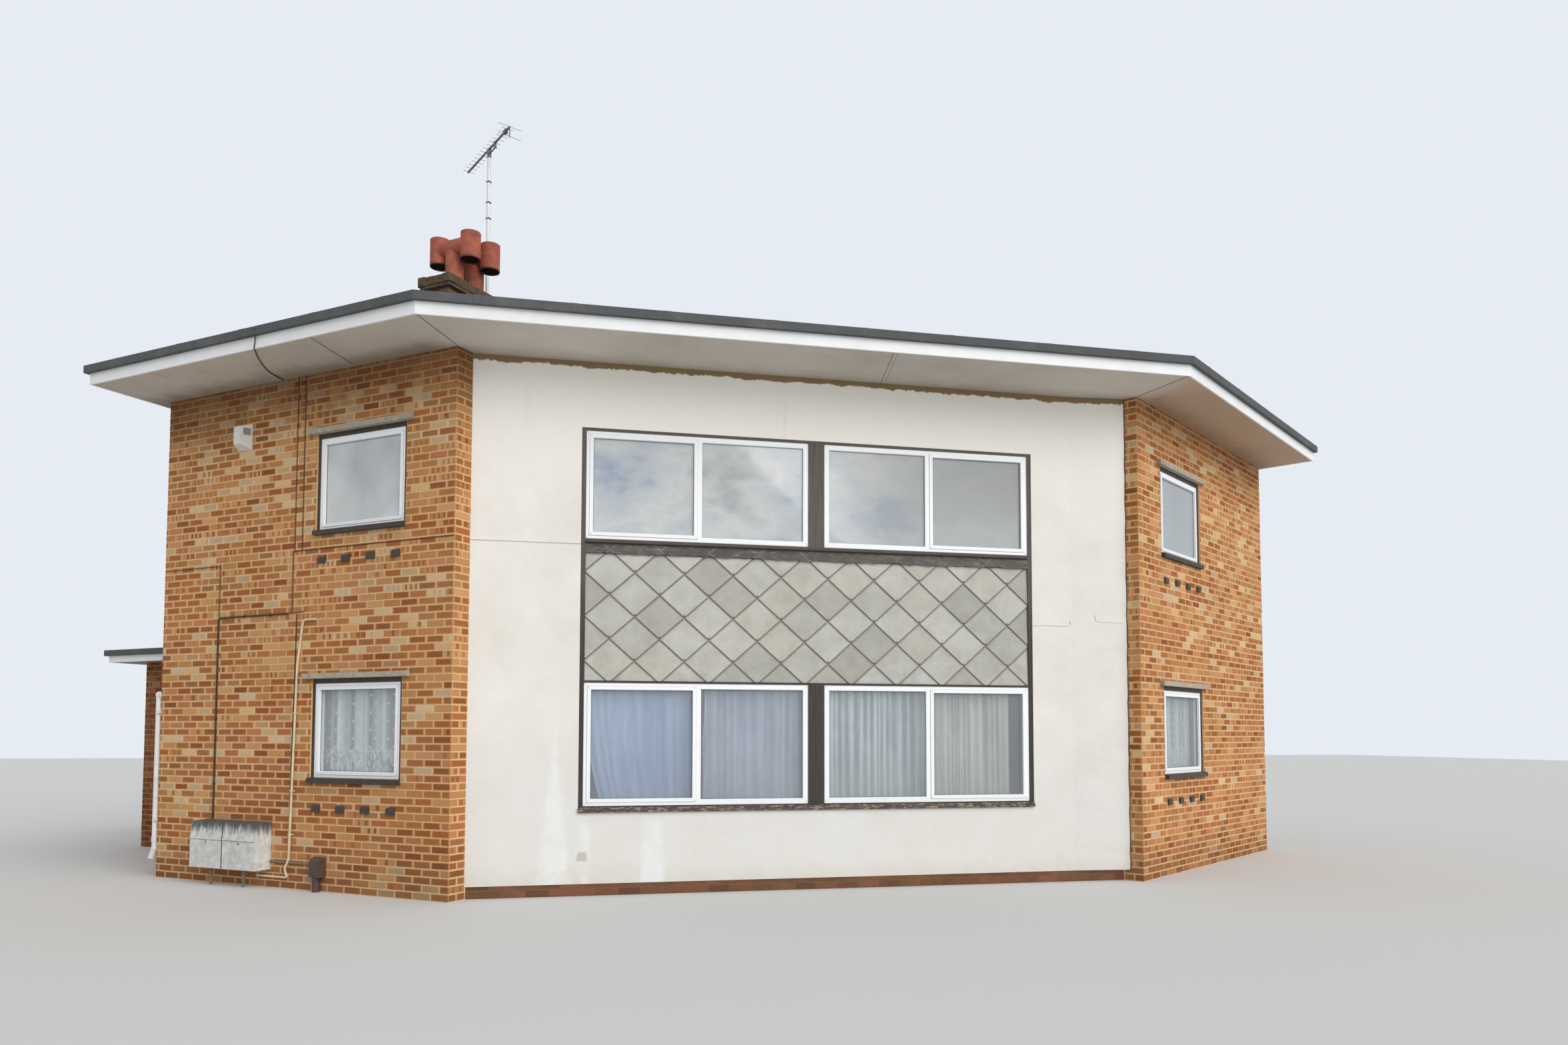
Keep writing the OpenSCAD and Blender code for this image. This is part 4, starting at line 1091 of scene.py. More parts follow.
def light_trim(build, gasket, wall, s, z, face_out, glass_out):
    """The raised edge and the sloped bead round one pane, and the gasket that shows inside them."""
    build.ring(wall, s, z, [(-0.013, face_out + 0.0003), (-0.0115, face_out + 0.0016),
                            (-0.001, face_out + 0.001), (0.003, glass_out + 0.006),
                            (0.003, glass_out + 0.0005)])
    gasket.ring(wall, s, z, [(0.0022, glass_out + 0.0045), (0.0055, glass_out + 0.003),
                             (0.0055, glass_out + 0.0005)])


def mitres(build, wall, s, z, face, out):
    """Thin dark weld lines across the four corners of a frame."""
    (s0, s1), (z0, z1) = s, z
    half = 0.0011
    for cs, cz, ds, dz in ((s0, z0, 1, 1), (s1, z0, -1, 1), (s1, z1, -1, -1), (s0, z1, 1, -1)):
        a = (cs + ds * 0.003, cz + dz * 0.003)
        b = (cs + ds * face, cz + dz * face)
        points = []
        for (ps, pz), depth in ((a, out), (b, out)):
            points += [(ps - ds * half, depth, pz + dz * half), (ps + ds * half, depth, pz - dz * half)]
        quad = (0, 1, 3, 2) if ds * dz > 0 else (2, 3, 1, 0)
        build.add(wall, points, [quad, quad[::-1]])


REBATE = 0.003


def sash_lines(build, wall, s, z, face, face_out):
    """The painted shadow in the gap round an opening light, and the weld lines at its corners."""
    around = [(a - REBATE, b + REBATE) for a, b in (s, z)]
    build.ring(wall, *around, [(0, face_out + 0.0006), (REBATE, face_out + 0.0006)])
    mitres(build, wall, s, z, face, face_out + SASH_OUT + 0.0004)


def start_lights(name):
    """Empty builds for the beads, gaskets and lines of one set of windows."""
    return [Build(f"{name}_{part}") for part in ("beads", "gaskets", "weld_and_shadow_lines")]


def finish_lights(trim, gasket, lines):
    """Hands over the beads, gaskets and lines of one set of windows."""
    trim.piece("upvc", "white_upvc")
    gasket.piece("gasket", "dark_plastic")
    lines.piece("weld_and_shadow_line", "white_upvc")


def corner_windows():
    """Trim for the four white two-light windows at the corner."""
    for storey, foot, height in (
        ("upper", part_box("upper_left_window")[0][2], UPPER_H),
        ("lower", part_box("lower_left_window")[0][2], LOWER_H),
    ):
        trim, gasket, lines = start_lights(f"{storey}_corner")
        face_out = RENDER_Y - (TIMBER_Y + FRAME_SET)
        sash_face = face_out + SASH_OUT
        glass_out = face_out - GLASS_SET
        for side in (-1, 1):
            wall = Wall((side * (MULLION_W / 2 + PAIR_W), RENDER_Y), (-side, 0), (0, -1))
            opening = (LIGHT_FACE, LIGHT_FACE + OPEN_LIGHT_W)
            fixed = (opening[1] + LIGHT_MULLION, PAIR_W - FIXED_FACE)
            z_open = (foot + LIGHT_FACE, foot + height - LIGHT_FACE)
            z_fixed = (foot + FIXED_FACE, foot + height - FIXED_FACE)
            light_trim(trim, gasket, wall, opening, z_open, sash_face, glass_out)
            light_trim(trim, gasket, wall, fixed, z_fixed, face_out, glass_out)
            half = LIGHT_FACE / 2
            sash_s = (opening[0] - half, opening[1] + half)
            sash_lines(lines, wall, sash_s, (foot + half, foot + height - half), half, face_out)
            mitres(lines, wall, (0, PAIR_W), (foot, foot + height), FIXED_FACE * 0.6, face_out + 0.0004)
        finish_lights(trim, gasket, lines)


def wing_window_trim():
    """Beads, gaskets, weld lines and painted shadow gaps of the single casements on the wings and the
    unseen sides.
    """
    trim, gasket, lines = start_lights("casement")
    places = [(LEFT, WIN_S, STOREYS), (RIGHT, WIN_S, STOREYS), (BACK, BACK_W / 4, STOREYS),
              (BACK, BACK_W * 3 / 4, STOREYS), (LEFT_SIDE, STORE_D + STORE_L / 2, STOREYS[1:])]
    for wall, middle, storeys in places:
        for z in storeys:
            foot = z + SILL_T
            face_out = -SUB_SET - FRAME_SET
            sash_face = face_out + SASH_OUT
            s = (middle - WIN_W / 2, middle + WIN_W / 2)
            inner = (s[0] + WIN_FACE, s[1] - WIN_FACE)
            inner_z = (foot + WIN_FACE, foot + WIN_H - WIN_FACE)
            light_trim(trim, gasket, wall, inner, inner_z, sash_face, face_out - GLASS_SET)
            half = WIN_FACE / 2
            sash_z = (foot + half, foot + WIN_H - half)
            sash_lines(lines, wall, (s[0] + half, s[1] - half), sash_z, half, face_out)
    finish_lights(trim, gasket, lines)


# Slate hanging

SLATE_W = 0.504
SLATE_H = 0.449
SLATE_T = 0.006
SLATE_TILT = 0.012
LEAD_OUT = 0.0045
LEAD_SWELL = 0.010
# Middle and head of the slate from which the others are counted
SLATE_X = -2.14
SLATE_Z = 3.003


def clip(polygon, axis, limit, keep_above):
    """A convex polygon cut along a straight line at a given coordinate."""
    result = []
    for i, point in enumerate(polygon):
        other = polygon[(i + 1) % len(polygon)]
        inside = (point[axis] >= limit) == keep_above or point[axis] == limit
        other_inside = (other[axis] >= limit) == keep_above or other[axis] == limit
        if inside:
            result.append(point)
        if inside != other_inside:
            t = (limit - point[axis]) / (other[axis] - point[axis])
            result.append(tuple(point[k] + (other[k] - point[k]) * t for k in (0, 1)))
    return result


def slate_grid(low, high):
    """Middle of each diamond slate whose shape reaches into the panel."""
    first_z = SLATE_Z - SLATE_H / 2
    for row in range(-4, 4):
        z = first_z + row * SLATE_H / 2
        shift = 0 if row % 2 == 0 else SLATE_W / 2
        for column in range(-1, 11):
            x = SLATE_X + shift + column * SLATE_W
            if low[0] - SLATE_W / 2 < x < high[0] + SLATE_W / 2:
                yield x, z


def hang_slates():
    """Diamond slates, each tilted over the two below it, with their copper discs."""
    rng = random.Random(5)
    low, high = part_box("slate_panel")
    back = RENDER_Y - low[1]
    verts, faces, toned, uvs = [], [], [], []
    rivets = Build("slate_rivets")
    margin = 0.002
    for x, z in slate_grid(low, high):
        half_w, half_h = SLATE_W / 2 - 0.001, SLATE_H / 2
        tail = 0.022
        shape = [(x, z + half_h), (x - half_w, z), (x - tail, z - half_h + tail * 0.9),
                 (x + tail, z - half_h + tail * 0.9), (x + half_w, z)]
        for axis, limit, above in ((0, low[0] + margin, True), (0, high[0] - margin, False),
                                   (1, low[2] + margin, True), (1, high[2] - margin, False)):
            if shape:
                shape = clip(shape, axis, limit, above)
        if len(shape) < 3:
            continue
        tone = rng.random()
        grime = 0.7 if z - half_h < low[2] + 0.1 else (0.3 if rng.random() < 0.25 else 0.0)
        skew = rng.uniform(-0.0012, 0.0012)

        def depth(px, pz):
            lap = (z + half_h - pz) / SLATE_H
            return back + 0.003 + SLATE_TILT * lap + skew * (px - x) / half_w

        middle_x = sum(p[0] for p in shape) / len(shape)
        middle_z = sum(p[1] for p in shape) / len(shape)
        first = len(verts)
        count = len(shape)
        rims = ((1.0, 0.0), (1.0, SLATE_T), (0.975, SLATE_T + 0.0003))
        for scale, out in rims:
            for px, pz in shape:
                qx, qz = middle_x + (px - middle_x) * scale, middle_z + (pz - middle_z) * scale
                verts.append(CENTRE.at(qx, depth(qx, qz) + out, qz))
                uvs.append(((qx - x) / half_w, (qz - z) / half_h))
                toned.append((tone, 0.0, 0.0, grime))
        for ring in range(2):
            for i in range(count):
                j = (i + 1) % count
                a, b = first + ring * count + i, first + ring * count + j
                faces.append((a, b, b + count, a + count))
        faces.append(tuple(first + 2 * count + i for i in range(count)))
        tip_z = z - half_h + 0.030
        if low[2] + 0.05 < tip_z < high[2] - 0.12 and low[0] + 0.03 < x < high[0] - 0.03:
            out = depth(x, tip_z) + SLATE_T
            for ds, dz in ((0.0, 0.0), (0.006, 0.030)):
                r = 0.006 if dz == 0 else 0.0025
                rivets.block(CENTRE, (x + ds - r, x + ds + r), (out - 0.002, out + 0.0018),
                             (tip_z + dz - r, tip_z + dz + r), 0.001)
    piece(make_object("hung_slates", verts, faces, uvs=uvs, tones=toned), "slate", "slate")
    rivets.piece("rivet", "dark_plastic")


def dress_flashing():
    """Lead dressed over the slates' heads, so that their edges show through it as ridges."""
    low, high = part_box("lead_flashing")
    columns, rows = 380, 10
    verts, faces, toned = [], [], []
    rng = random.Random(8)
    ragged = [rng.uniform(-0.016, 0.016) for _ in range(columns + 1)]
    base = RENDER_Y - high[1]
    for i in range(columns + 1):
        x = low[0] + 0.001 + (high[0] - low[0] - 0.002) * i / columns
        foot = sum(ragged[max(0, i - 2) : i + 3]) / 5
        for j in range(rows + 1):
            t = j / rows
            z = high[2] - 0.0005 - (high[2] - low[2] - 0.010 + foot) * t
            along = ((x - SLATE_X) / SLATE_W) % 1.0
            rise = ((SLATE_Z + SLATE_H - z) / SLATE_H) % 1.0
            first = abs(((along - rise + 0.5) % 1.0) - 0.5)
            second = abs(((along + rise + 0.5) % 1.0) - 0.5)
            ridge = max(0.0, 1 - min(first, second) / 0.035)
            out = base + LEAD_OUT + 0.004 * ridge * min(1, t * 4) + LEAD_SWELL * t
            verts.append(CENTRE.at(x, out, z))
            toned.append((ridge, t, 0.0, 0.0))
    for i in range(columns):
        for j in range(rows):
            a = i * (rows + 1) + j
            b = a + rows + 1
            faces.append((a, a + 1, b + 1, b))
    back = len(verts)
    for i in (0, columns):
        for j in (0, rows):
            source = verts[i * (rows + 1) + j]
            verts.append(Vector((source.x, RENDER_Y - base - 0.0005, source.z)))
            toned.append((0.0, j / rows, 0.0, 0.0))
    faces.append((back, back + 2, back + 3, back + 1))
    lead = make_object("dressed_lead", verts, faces, smooth=True, tones=toned)
    piece(lead, "lead", "lead", "lead_flashing")


# Curtains


def hung_cloth(name, verts, rows, columns, toned, uvs=None):
    """A cloth whose vertices run row by row."""
    faces = []
    for j in range(rows):
        for i in range(columns):
            a = j * (columns + 1) + i
            b = a + columns + 1
            faces.append((a, b, b + 1, a + 1))
    return make_object(name, verts, faces, smooth=True, uvs=uvs, tones=toned)


def pleated(name, x, z, y, folds, depth, seed, drift=0.0, edge=0.0):
    """A hanging cloth with uneven pleats, between two points along X, and its flat width."""
    rng = random.Random(seed)
    (x0, x1), (z0, z1) = x, z
    columns, rows = folds * 8, 14
    phases = [rng.uniform(0.4, 1.8) for _ in range(folds)]
    fold_light_shifts = [rng.uniform(-0.34, 0.34) for _ in range(folds + 1)]
    total = sum(phases)
    verts, toned, widths = [], [], []
    for j in range(rows + 1):
        t = j / rows
        height = z1 + (z0 - z1) * t
        flare = 0.75 + 0.25 * t
        line = []
        for i in range(columns + 1):
            fold, part = divmod(i, 8)
            done = sum(phases[:fold]) + (phases[fold] * part / 8 if fold < folds else 0)
            px = x0 + (x1 - x0) * done / total
            px += drift * t * t * (1 - (px - x0) / (x1 - x0))
            wave = math.sin(part / 8 * 2 * math.pi)
            swing = wave * depth * min(1.3, phases[min(fold, folds - 1)]) * flare / 1.3
            foot = z0 + edge * abs(math.sin(i * 0.9))
            line.append(Vector((px, y + swing, max(height, foot))))
            # Painted shade in the back of each fold and painted light on its front, shifted fold by fold
            toned.append((0.5 - 0.4 * wave + fold_light_shifts[fold], t, 0.0, 0.0))
        widths.append(sum((b - a).length for a, b in zip(line, line[1:])))
        verts += line
    return hung_cloth(name, verts, rows, columns, toned), sum(widths) / len(widths)


def hang_corner_curtains():
    """Four nets in the lower corner windows, and a beaded edge that hangs beside the second one."""
    low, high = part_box("corner_curtains")
    y = (low[1] + high[1]) / 2
    z = (low[2] + 0.002, high[2] - 0.002)
    depth = (high[1] - low[1]) / 2 - 0.001
    half, light = MULLION_W / 2, LIGHT_FACE + OPEN_LIGHT_W + LIGHT_MULLION / 2
    outer = half + PAIR_W - 0.002
    cloths = (
        ("curtain_far_left", (-outer, -outer + light - 0.004), 9, "blue_net", 41, 0.17, 0.004),
        ("curtain_near_left", (-outer + light + 0.096, -half - 0.002), 11, "lilac_net", 42, 0.0, 0.0),
        ("curtain_near_right", (half + 0.002, outer - light - 0.004), 15, "grey_net", 43, 0.0, 0.0),
        ("curtain_far_right", (outer - light + 0.004, outer - 0.175), 15, "cream_net", 44, 0.0, 0.0),
    )
    for name, x, folds, material, seed, drift, edge in cloths:
        obj, width = pleated(name, x, z, y, folds, depth, seed, drift, edge)
        piece(obj, material, "curtain_net", "corner_curtains")
    beads = Build("beaded_edge")
    left = -outer + light + 0.090
    steps = 44
    for k in range(steps):
        t = k / steps
        foot = z[1] - 0.01 - (z[1] - z[0] - 0.02) * t
        s = left + 0.006 * math.sin(t * 9) - 0.018 * t
        beads.block(CENTRE, (s, s + 0.014), (RENDER_Y - y - 0.006, RENDER_Y - y + 0.006),
                    (foot - 0.013, foot), 0.003)
    beads.piece("bead", "curtain_net", "corner_curtains")


def hang_blinds():
    """Pleated blinds behind the upper corner windows."""
    low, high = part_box("corner_blinds")
    y = (low[1] + high[1]) / 2
    half = MULLION_W / 2
    outer = half + PAIR_W - 0.002
    depth = 0.006
    pleats = 46
    for side, name in ((-1, "left_blind"), (1, "right_blind")):
        x0, x1 = sorted((side * (half + 0.002), side * outer))
        verts, faces, toned, length = [], [], [], 0.0
        for j in range(2 * pleats + 1):
            z = high[2] - 0.002 - (high[2] - low[2] - 0.004) * j / (2 * pleats)
            py = y + (depth if j % 2 else -depth)
            verts += [Vector((x0, py, z)), Vector((x1, py, z))]
            # Painted shade at the back creases of the pleats and painted light at the front ones
            toned += [(0.25 if j % 2 else 0.85, 0.0, 0.0, 0.0)] * 2
            if j:
                length += (verts[-1] - verts[-3]).length
                a = 2 * (j - 1)
                faces.append((a, a + 2, a + 3, a + 1))
        obj = make_object(name, verts, faces, tones=toned)
        piece(obj, "blind", "blind", "corner_blinds")


def hang_wing_curtains():
    """Lace nets in the two lower wing windows, drawn with a wavy foot."""
    for wall, name, seed in ((LEFT, "left_net", 51), (RIGHT, "right_net", 52)):
        rng = random.Random(seed)
        out = -SUB_SET - SUB_DEPTH - 0.028 - 0.0125
        s0, s1 = WIN_S - OPEN_W / 2 + 0.003, WIN_S + OPEN_W / 2 - 0.003
        z1 = STOREYS[0] + OPEN_H - 0.003
        z0 = STOREYS[0] + SILL_T + 0.045
        columns, rows = 144, 8
        verts, widths, toned, uvs = [], [], [], []
        phases = [rng.uniform(0, 6.28) for _ in range(4)]
        for j in range(rows + 1):
            t = j / rows
            line = []
            for i in range(columns + 1):
                u = i / columns
                swing = 0.006 * math.sin(u * 62 + phases[0]) + 0.004 * math.sin(u * 97 + phases[1])
                foot = z0 + 0.018 * abs(math.sin(u * 24 + phases[2]))
                line.append(wall.at(s0 + (s1 - s0) * u, out + swing, z1 + (foot - z1) * t))
                # Painted shade and light of the folds: from the cloth's sway, and from broad folds that
                # exist only in colour
                broad_fold_shade = math.sin(u * 27 + phases[3] + 0.4 * t)
                toned.append((0.5 + 22 * swing + 0.28 * broad_fold_shade, t, 0.0, 0.0))
                uvs.append(((s1 - s0) * u * 1.1, line[-1].z - z0))
            widths.append(sum((b - a).length for a, b in zip(line, line[1:])))
            verts += line
        obj = hung_cloth(name, verts, rows, columns, toned, uvs)
        piece(obj, "lace", "curtain_net", "wing_curtains")


# Roof


def eaves_reach(wall):
    """How far the fascia's face stands out of a wall."""
    if wall is CENTRE:
        return OVERHANG + RENDER_Y - QUOIN_Y
    return LEFT_OVERHANG if wall is LEFT else RIGHT_OVERHANG


STRIP_W = 0.98


def felt_seams():
    """Laps in the felt: across the kerb at every metre, and in strips over the roof."""
    build = Build("felt_laps")
    low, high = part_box("felt_roof")
    edges = ((LEFT, -0.3, WING_LEN + 0.22), (CENTRE, -CANT_W / 2 - 0.2, CANT_W / 2 + 0.2),
             (RIGHT, -0.3, WING_LEN))
    rng = random.Random(3)
    for wall, s0, s1 in edges:
        face = eaves_reach(wall) + 0.045
        s = s0 + 0.4
        while s < s1 - 0.1:
            build.block(wall, (s, s + 0.07), (face - 0.15, face + 0.0015),
                        (low[2] + 0.002, high[2] + 0.0015), 0.001)
            s += rng.uniform(0.85, 1.05)
    build.piece("felt", "felt")
    strips = Build("roof_laps")
    deck = Wall((0, 0), (1, 0), (0, 1))
    top = low[2] + 0.012
    for k in range(-4, 5):
        y = k * STRIP_W
        # The roof widens up to the bend of its sides, then narrows towards the back
        reach = min(6.0, 7.0 + (y + 1.2) * 1.3 if y < -1.16 else 7.0 - (y + 1.16) * 0.74) - 0.35
        strips.block(deck, (-reach, reach), (y - 0.04, y + 0.04), (top - 0.004, top + 0.003))
    strips.piece("felt", "felt")


def fascia_trim():
    """Butt covers where lengths of fascia meet."""
    build = Build("fascia_joints")
    low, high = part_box("fascia_boards")
    z = (low[2] + 0.001, high[2] - 0.001)
    for wall, s in ((LEFT, 2.9), (CENTRE, 0.89), (RIGHT, 1.9)):
        face = eaves_reach(wall)
        build.block(wall, (s, s + 0.05), (face - 0.01, face + 0.002), z, 0.001)
    build.piece("fascia", "white_upvc")


def soffit_joints():
    """Dark lines as painted shadow in the open joints between the soffit's boards and along the edges of a
    cover strip, and the cable that loops over the fascia.
    """
    z = SOFFIT_Z - 0.0005
    routes = [[LEFT.at(1.129, 0.748, z), LEFT.at(1.332, 0.056, z)]]
    for wall in (LEFT, RIGHT):
        reach = eaves_reach(wall)
        run = (OVERHANG - reach * COS) / SIN
        outer = wall.at(-run, reach, z)
        inner = wall.at(0, 0, z)
        routes.append([outer.lerp(inner, 0.03), outer.lerp(inner, 0.97)])
    for number, route in enumerate(routes):
        piece(tube(f"soffit_joint_{number + 1}", route, 0.007, 1), "shade_line", "dark_plastic")
    outer, inner = Vector((0.585, QUOIN_Y - OVERHANG + 0.010)), Vector((0.725, RENDER_Y - 0.010))
    run = inner - outer
    strip = Wall(outer, run, (run.y, -run.x))
    cover = Build("soffit_cover_strip")
    cover.block(strip, (0, run.length), (-0.018, 0.018), (SOFFIT_Z - 0.003, SOFFIT_Z + 0.001))
    cover.piece("soffit", "soffit_board")
    for side in (-1, 1):
        line = [strip.at(s, side * 0.020, z) for s in (0, run.length)]
        piece(tube(f"soffit_strip_edge_{side + 2}", line, 0.005, 1), "shade_line", "dark_plastic")
    loop = ((1.80, LEFT_OVERHANG + 0.050, 5.527), (1.83, LEFT_OVERHANG + 0.012, 5.440),
            (1.85, LEFT_OVERHANG + 0.006, 5.358), (1.90, 0.735, 5.350), (2.085, 0.542, 5.353),
            (2.284, 0.272, 5.353), (2.368, 0.020, 5.352))
    path = smooth_path([LEFT.at(*p) for p in loop])
    piece(tube("soffit_cable", path, 0.010), "dark", "dark_plastic")


# Fittings


def alarm_details():
    """The sounder's louvre in the bevelled side of the box on the left wing."""
    build = Build("alarm_louvre")
    wide, deep = 0.054, 0.110
    along, out = LEFT.along * wide + LEFT.out * deep, LEFT.out * wide - LEFT.along * deep
    bevel = Wall(LEFT.at(ALARM_S, 0, 0).xy, along.xy, out.xy)
    for k in range(6):
        z = LOUVRE_Z + k * 0.0125
        build.block(bevel, (0.022, 0.095), (-0.002, 0.0016), (z, z + 0.0075), 0.0005)
    build.piece("vent", "dark_plastic")


def meter_details():
    """The lids' lips and the catches under them on the meter boxes, with dark strips as painted shadow
    between the boxes and under each lip.
    """
    lips = Build("meter_lips")
    catches = Build("meter_catches")
    gap_shadows = Build("meter_gap_shadows")
    crease = METER_Z + 0.62 * METER_H
    top = METER_Z + METER_H
    face = METER_D + 0.0008
    # A dark strip as painted shadow in the gap between the two boxes
    profile = ((0.02, METER_Z + 0.004), (face, METER_Z + 0.004), (face, crease),
               (face - 0.018, top - 0.011), (0.02, top + 0.0008))
    split = METER_S + METER_W
    points = [(s, out, z) for s in (split - 0.003, split + METER_GAP + 0.003) for out, z in profile]
    gap_shadows.add(LEFT, points, [(4, 3, 2, 1, 0), (5, 6, 7, 8, 9)] + [(i, (i + 1) % 5, (i + 1) % 5 + 5, i + 5)
                                                                for i in range(5)])
    for i in range(2):
        s0 = METER_S + i * (METER_W + METER_GAP)
        s1 = s0 + METER_W
        lips.block(LEFT, (s0 + 0.003, s1 - 0.003), (METER_D - 0.003, METER_D + 0.004),
                   (crease - 0.008, crease), 0.002)
        # A dark strip as painted shadow under each lip
        gap_shadows.block(LEFT, (s0 + 0.004, s1 - 0.004), (METER_D - 0.002, METER_D + 0.0012),
                   (crease - 0.012, crease - 0.008))
        middle = (s0 + s1) / 2
        catches.block(LEFT, (middle - 0.008, middle + 0.008), (METER_D - 0.002, METER_D + 0.003),
                      (crease - 0.040, crease - 0.022), 0.001)
    lips.piece("meter", "grey_plastic")
    gap_shadows.piece("shade_line", "grey_plastic")
    catches.piece("vent", "dark_plastic")


def bent(points, radius, steps=5):
    """The path of a pipe through corner points, with each corner rounded."""
    path = [points[0]]
    for before, corner, after in zip(points, points[1:], points[2:]):
        back, on = before - corner, after - corner
        reach = min(radius, back.length / 2.1, on.length / 2.1)
        back.normalize()
        on.normalize()
        for k in range(steps + 1):
            t = k / steps
            path.append(corner + back * reach * (1 - t) ** 2 + on * reach * t**2)
    return path + [points[-1]]


def pipe_run(name, points, diameter, radius, material, slot, *replaced):
    """One bent pipe or cable on the left wing, from (along, out, up) points."""
    route = bent([LEFT.at(*p) for p in points], radius)
    return piece(tube(name, route, diameter, 4), material, slot, *replaced)


def pipes():
    """The round pipes and cables on the left wing, with their bends."""
    lid = METER_Z + METER_H - 0.004
    route = [(PIPE_S, 0.010, lid), (PIPE_S, 0.010, PIPE_TURN_Z), (PIPE_TURN_S + 0.05, 0.010, PIPE_TURN_Z)]
    pipe_run("brown_riser", route, 0.018, 0.045, "dark", "dark_plastic", "brown_pipe")
    low_z = METER_Z + 0.084
    route = [(METER_S, 0.011, low_z), (1.745, 0.011, low_z)]
    pipe_run("low_bar", route, 0.022, 0, "leg", "grey_plastic", "brown_pipe")
    y = 0.0055
    rise = PIPE_TURN_S - 0.011
    step_z = CABLE_Z - 0.087
    cables = (
        ("cable_to_corner", 0.011, 0.05, (PIPE_TURN_S + 0.16, PIPE_TURN_Z), (rise, PIPE_TURN_Z),
         (rise, CABLE_Z), (y, CABLE_Z)),
        ("cable_to_end", 0.009, 0.04, (PIPE_S, PIPE_TURN_Z - 0.02), (PIPE_S, step_z),
         (WING_LEN - 0.011, step_z)),
        ("cable_to_soffit_1", 0.010, 0, (2.150, CABLE_Z - 0.005), (2.150, SOFFIT_Z)),
        ("cable_to_soffit_2", 0.010, 0, (2.042, CABLE_Z - 0.005), (2.042, SOFFIT_Z)),
        ("cable_stub", 0.009, 0, (PIPE_TURN_S, PIPE_TURN_Z + 0.002),
         (PIPE_TURN_S - 0.19, PIPE_TURN_Z + 0.012)),
    )
    for name, diameter, radius, *path in cables:
        points = [(s, y, z) for s, z in path]
        pipe_run(name, points, diameter, radius, "cable", "dark_plastic", "surface_cables")
    back, front = CREAM_TOP[1], CREAM_FOOT[1]
    route = [(1.819, back, 2.775), (1.995, back, 2.775), CREAM_TOP, CREAM_FOOT, (2.133, front, 0.229),
             (2.138, front, 0.190), (2.097, front, 0.120), (2.550, front, 0.120)]
    pipe_run("cream_riser", route, 0.024, 0.05, "cream", "cream_plastic", "cream_pipe")
    across = [CENTRE.at(x, y, CABLE_Z) for x in (-CANT_W / 2 + 0.14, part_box("corner_frame")[0][0])]
    piece(tube("cable_on_render", across, 0.011, 4), "render", "render", "surface_cables")


def pipe_clips():
    """Saddles over the pipes on the left wing."""
    build = Build("pipe_clips")
    for z in (1.05, 1.75, 2.45):
        build.block(LEFT, (PIPE_S - 0.016, PIPE_S + 0.016), (0.002, 0.021), (z, z + 0.012), 0.003)
    for s in (PIPE_TURN_S + 0.3, PIPE_TURN_S + 0.7):
        build.block(LEFT, (s, s + 0.012), (0.002, 0.021), (PIPE_TURN_Z - 0.016, PIPE_TURN_Z + 0.016), 0.003)
    build.piece("dark", "dark_plastic")
    cream = Build("cream_clips")
    for z in (0.55, 1.0, 1.8):
        t = (CREAM_TOP[2] - z) / (CREAM_TOP[2] - CREAM_FOOT[2])
        s, out = (a + (b - a) * t for a, b in zip(CREAM_TOP[:2], CREAM_FOOT))
        cream.block(LEFT, (s - 0.017, s + 0.017), (0.002, out + 0.014), (z, z + 0.014), 0.003)
    cream.piece("cream", "cream_plastic")


# How far the render laps over the right-hand quoin, and how far off it starts to thicken
LAP = 0.060
LAP_RUN = 0.60


def small_cables():
    """Thin cables on the render, painted over with it, and one beside the cream pipe."""
    paths = {
        "render_cable_left": [(2.444, 2.788), (2.60, 2.797), (2.86, 2.797), (2.872, 2.849)],
        "render_cable_right": [(3.162, 2.923), (3.175, 2.865), (3.201, 2.85), (3.40, 2.838), (3.50, 2.835)],
    }
    start = CANT_W / 2 - QUOIN_RETURN * SIN - LAP_RUN
    slope = LAP * COS / (LAP_RUN + LAP * SIN)
    for name, points in paths.items():
        route = smooth_path([CENTRE.at(x, 0.005 + max(0, x - start) * slope, z) for x, z in points])
        piece(tube(name, route, 0.007), "render", "render")
    side = [LEFT.at(s, 0.006, z) for s, z in ((2.098, 2.84), (2.105, 2.1), (2.118, 1.5), (2.126, 0.9),
                                              (2.130, 0.36))]
    piece(tube("thin_conduit", smooth_path(side), 0.010), "dark", "dark_plastic")


def ragged_strip(name, wall, rows):
    """An upright strip on a wall, through rows of four (along, out) points and a height."""
    build = Build(name)
    points = [(s, out, z) for section, z in rows for s, out in section]
    faces = [(0, 1, 2, 3)]
    for low in range(0, len(points) - 4, 4):
        high = low + 4
        faces += [
            (low + 1, high + 1, high + 2, low + 2),
            (low, high, high + 1, low + 1),
            (low + 3, low + 2, high + 2, high + 3),
            (low, low + 3, high + 3, high),
        ]
    last = len(points) - 4
    faces.append((last, last + 3, last + 2, last + 1))
    build.add(wall, points, faces)
    return build


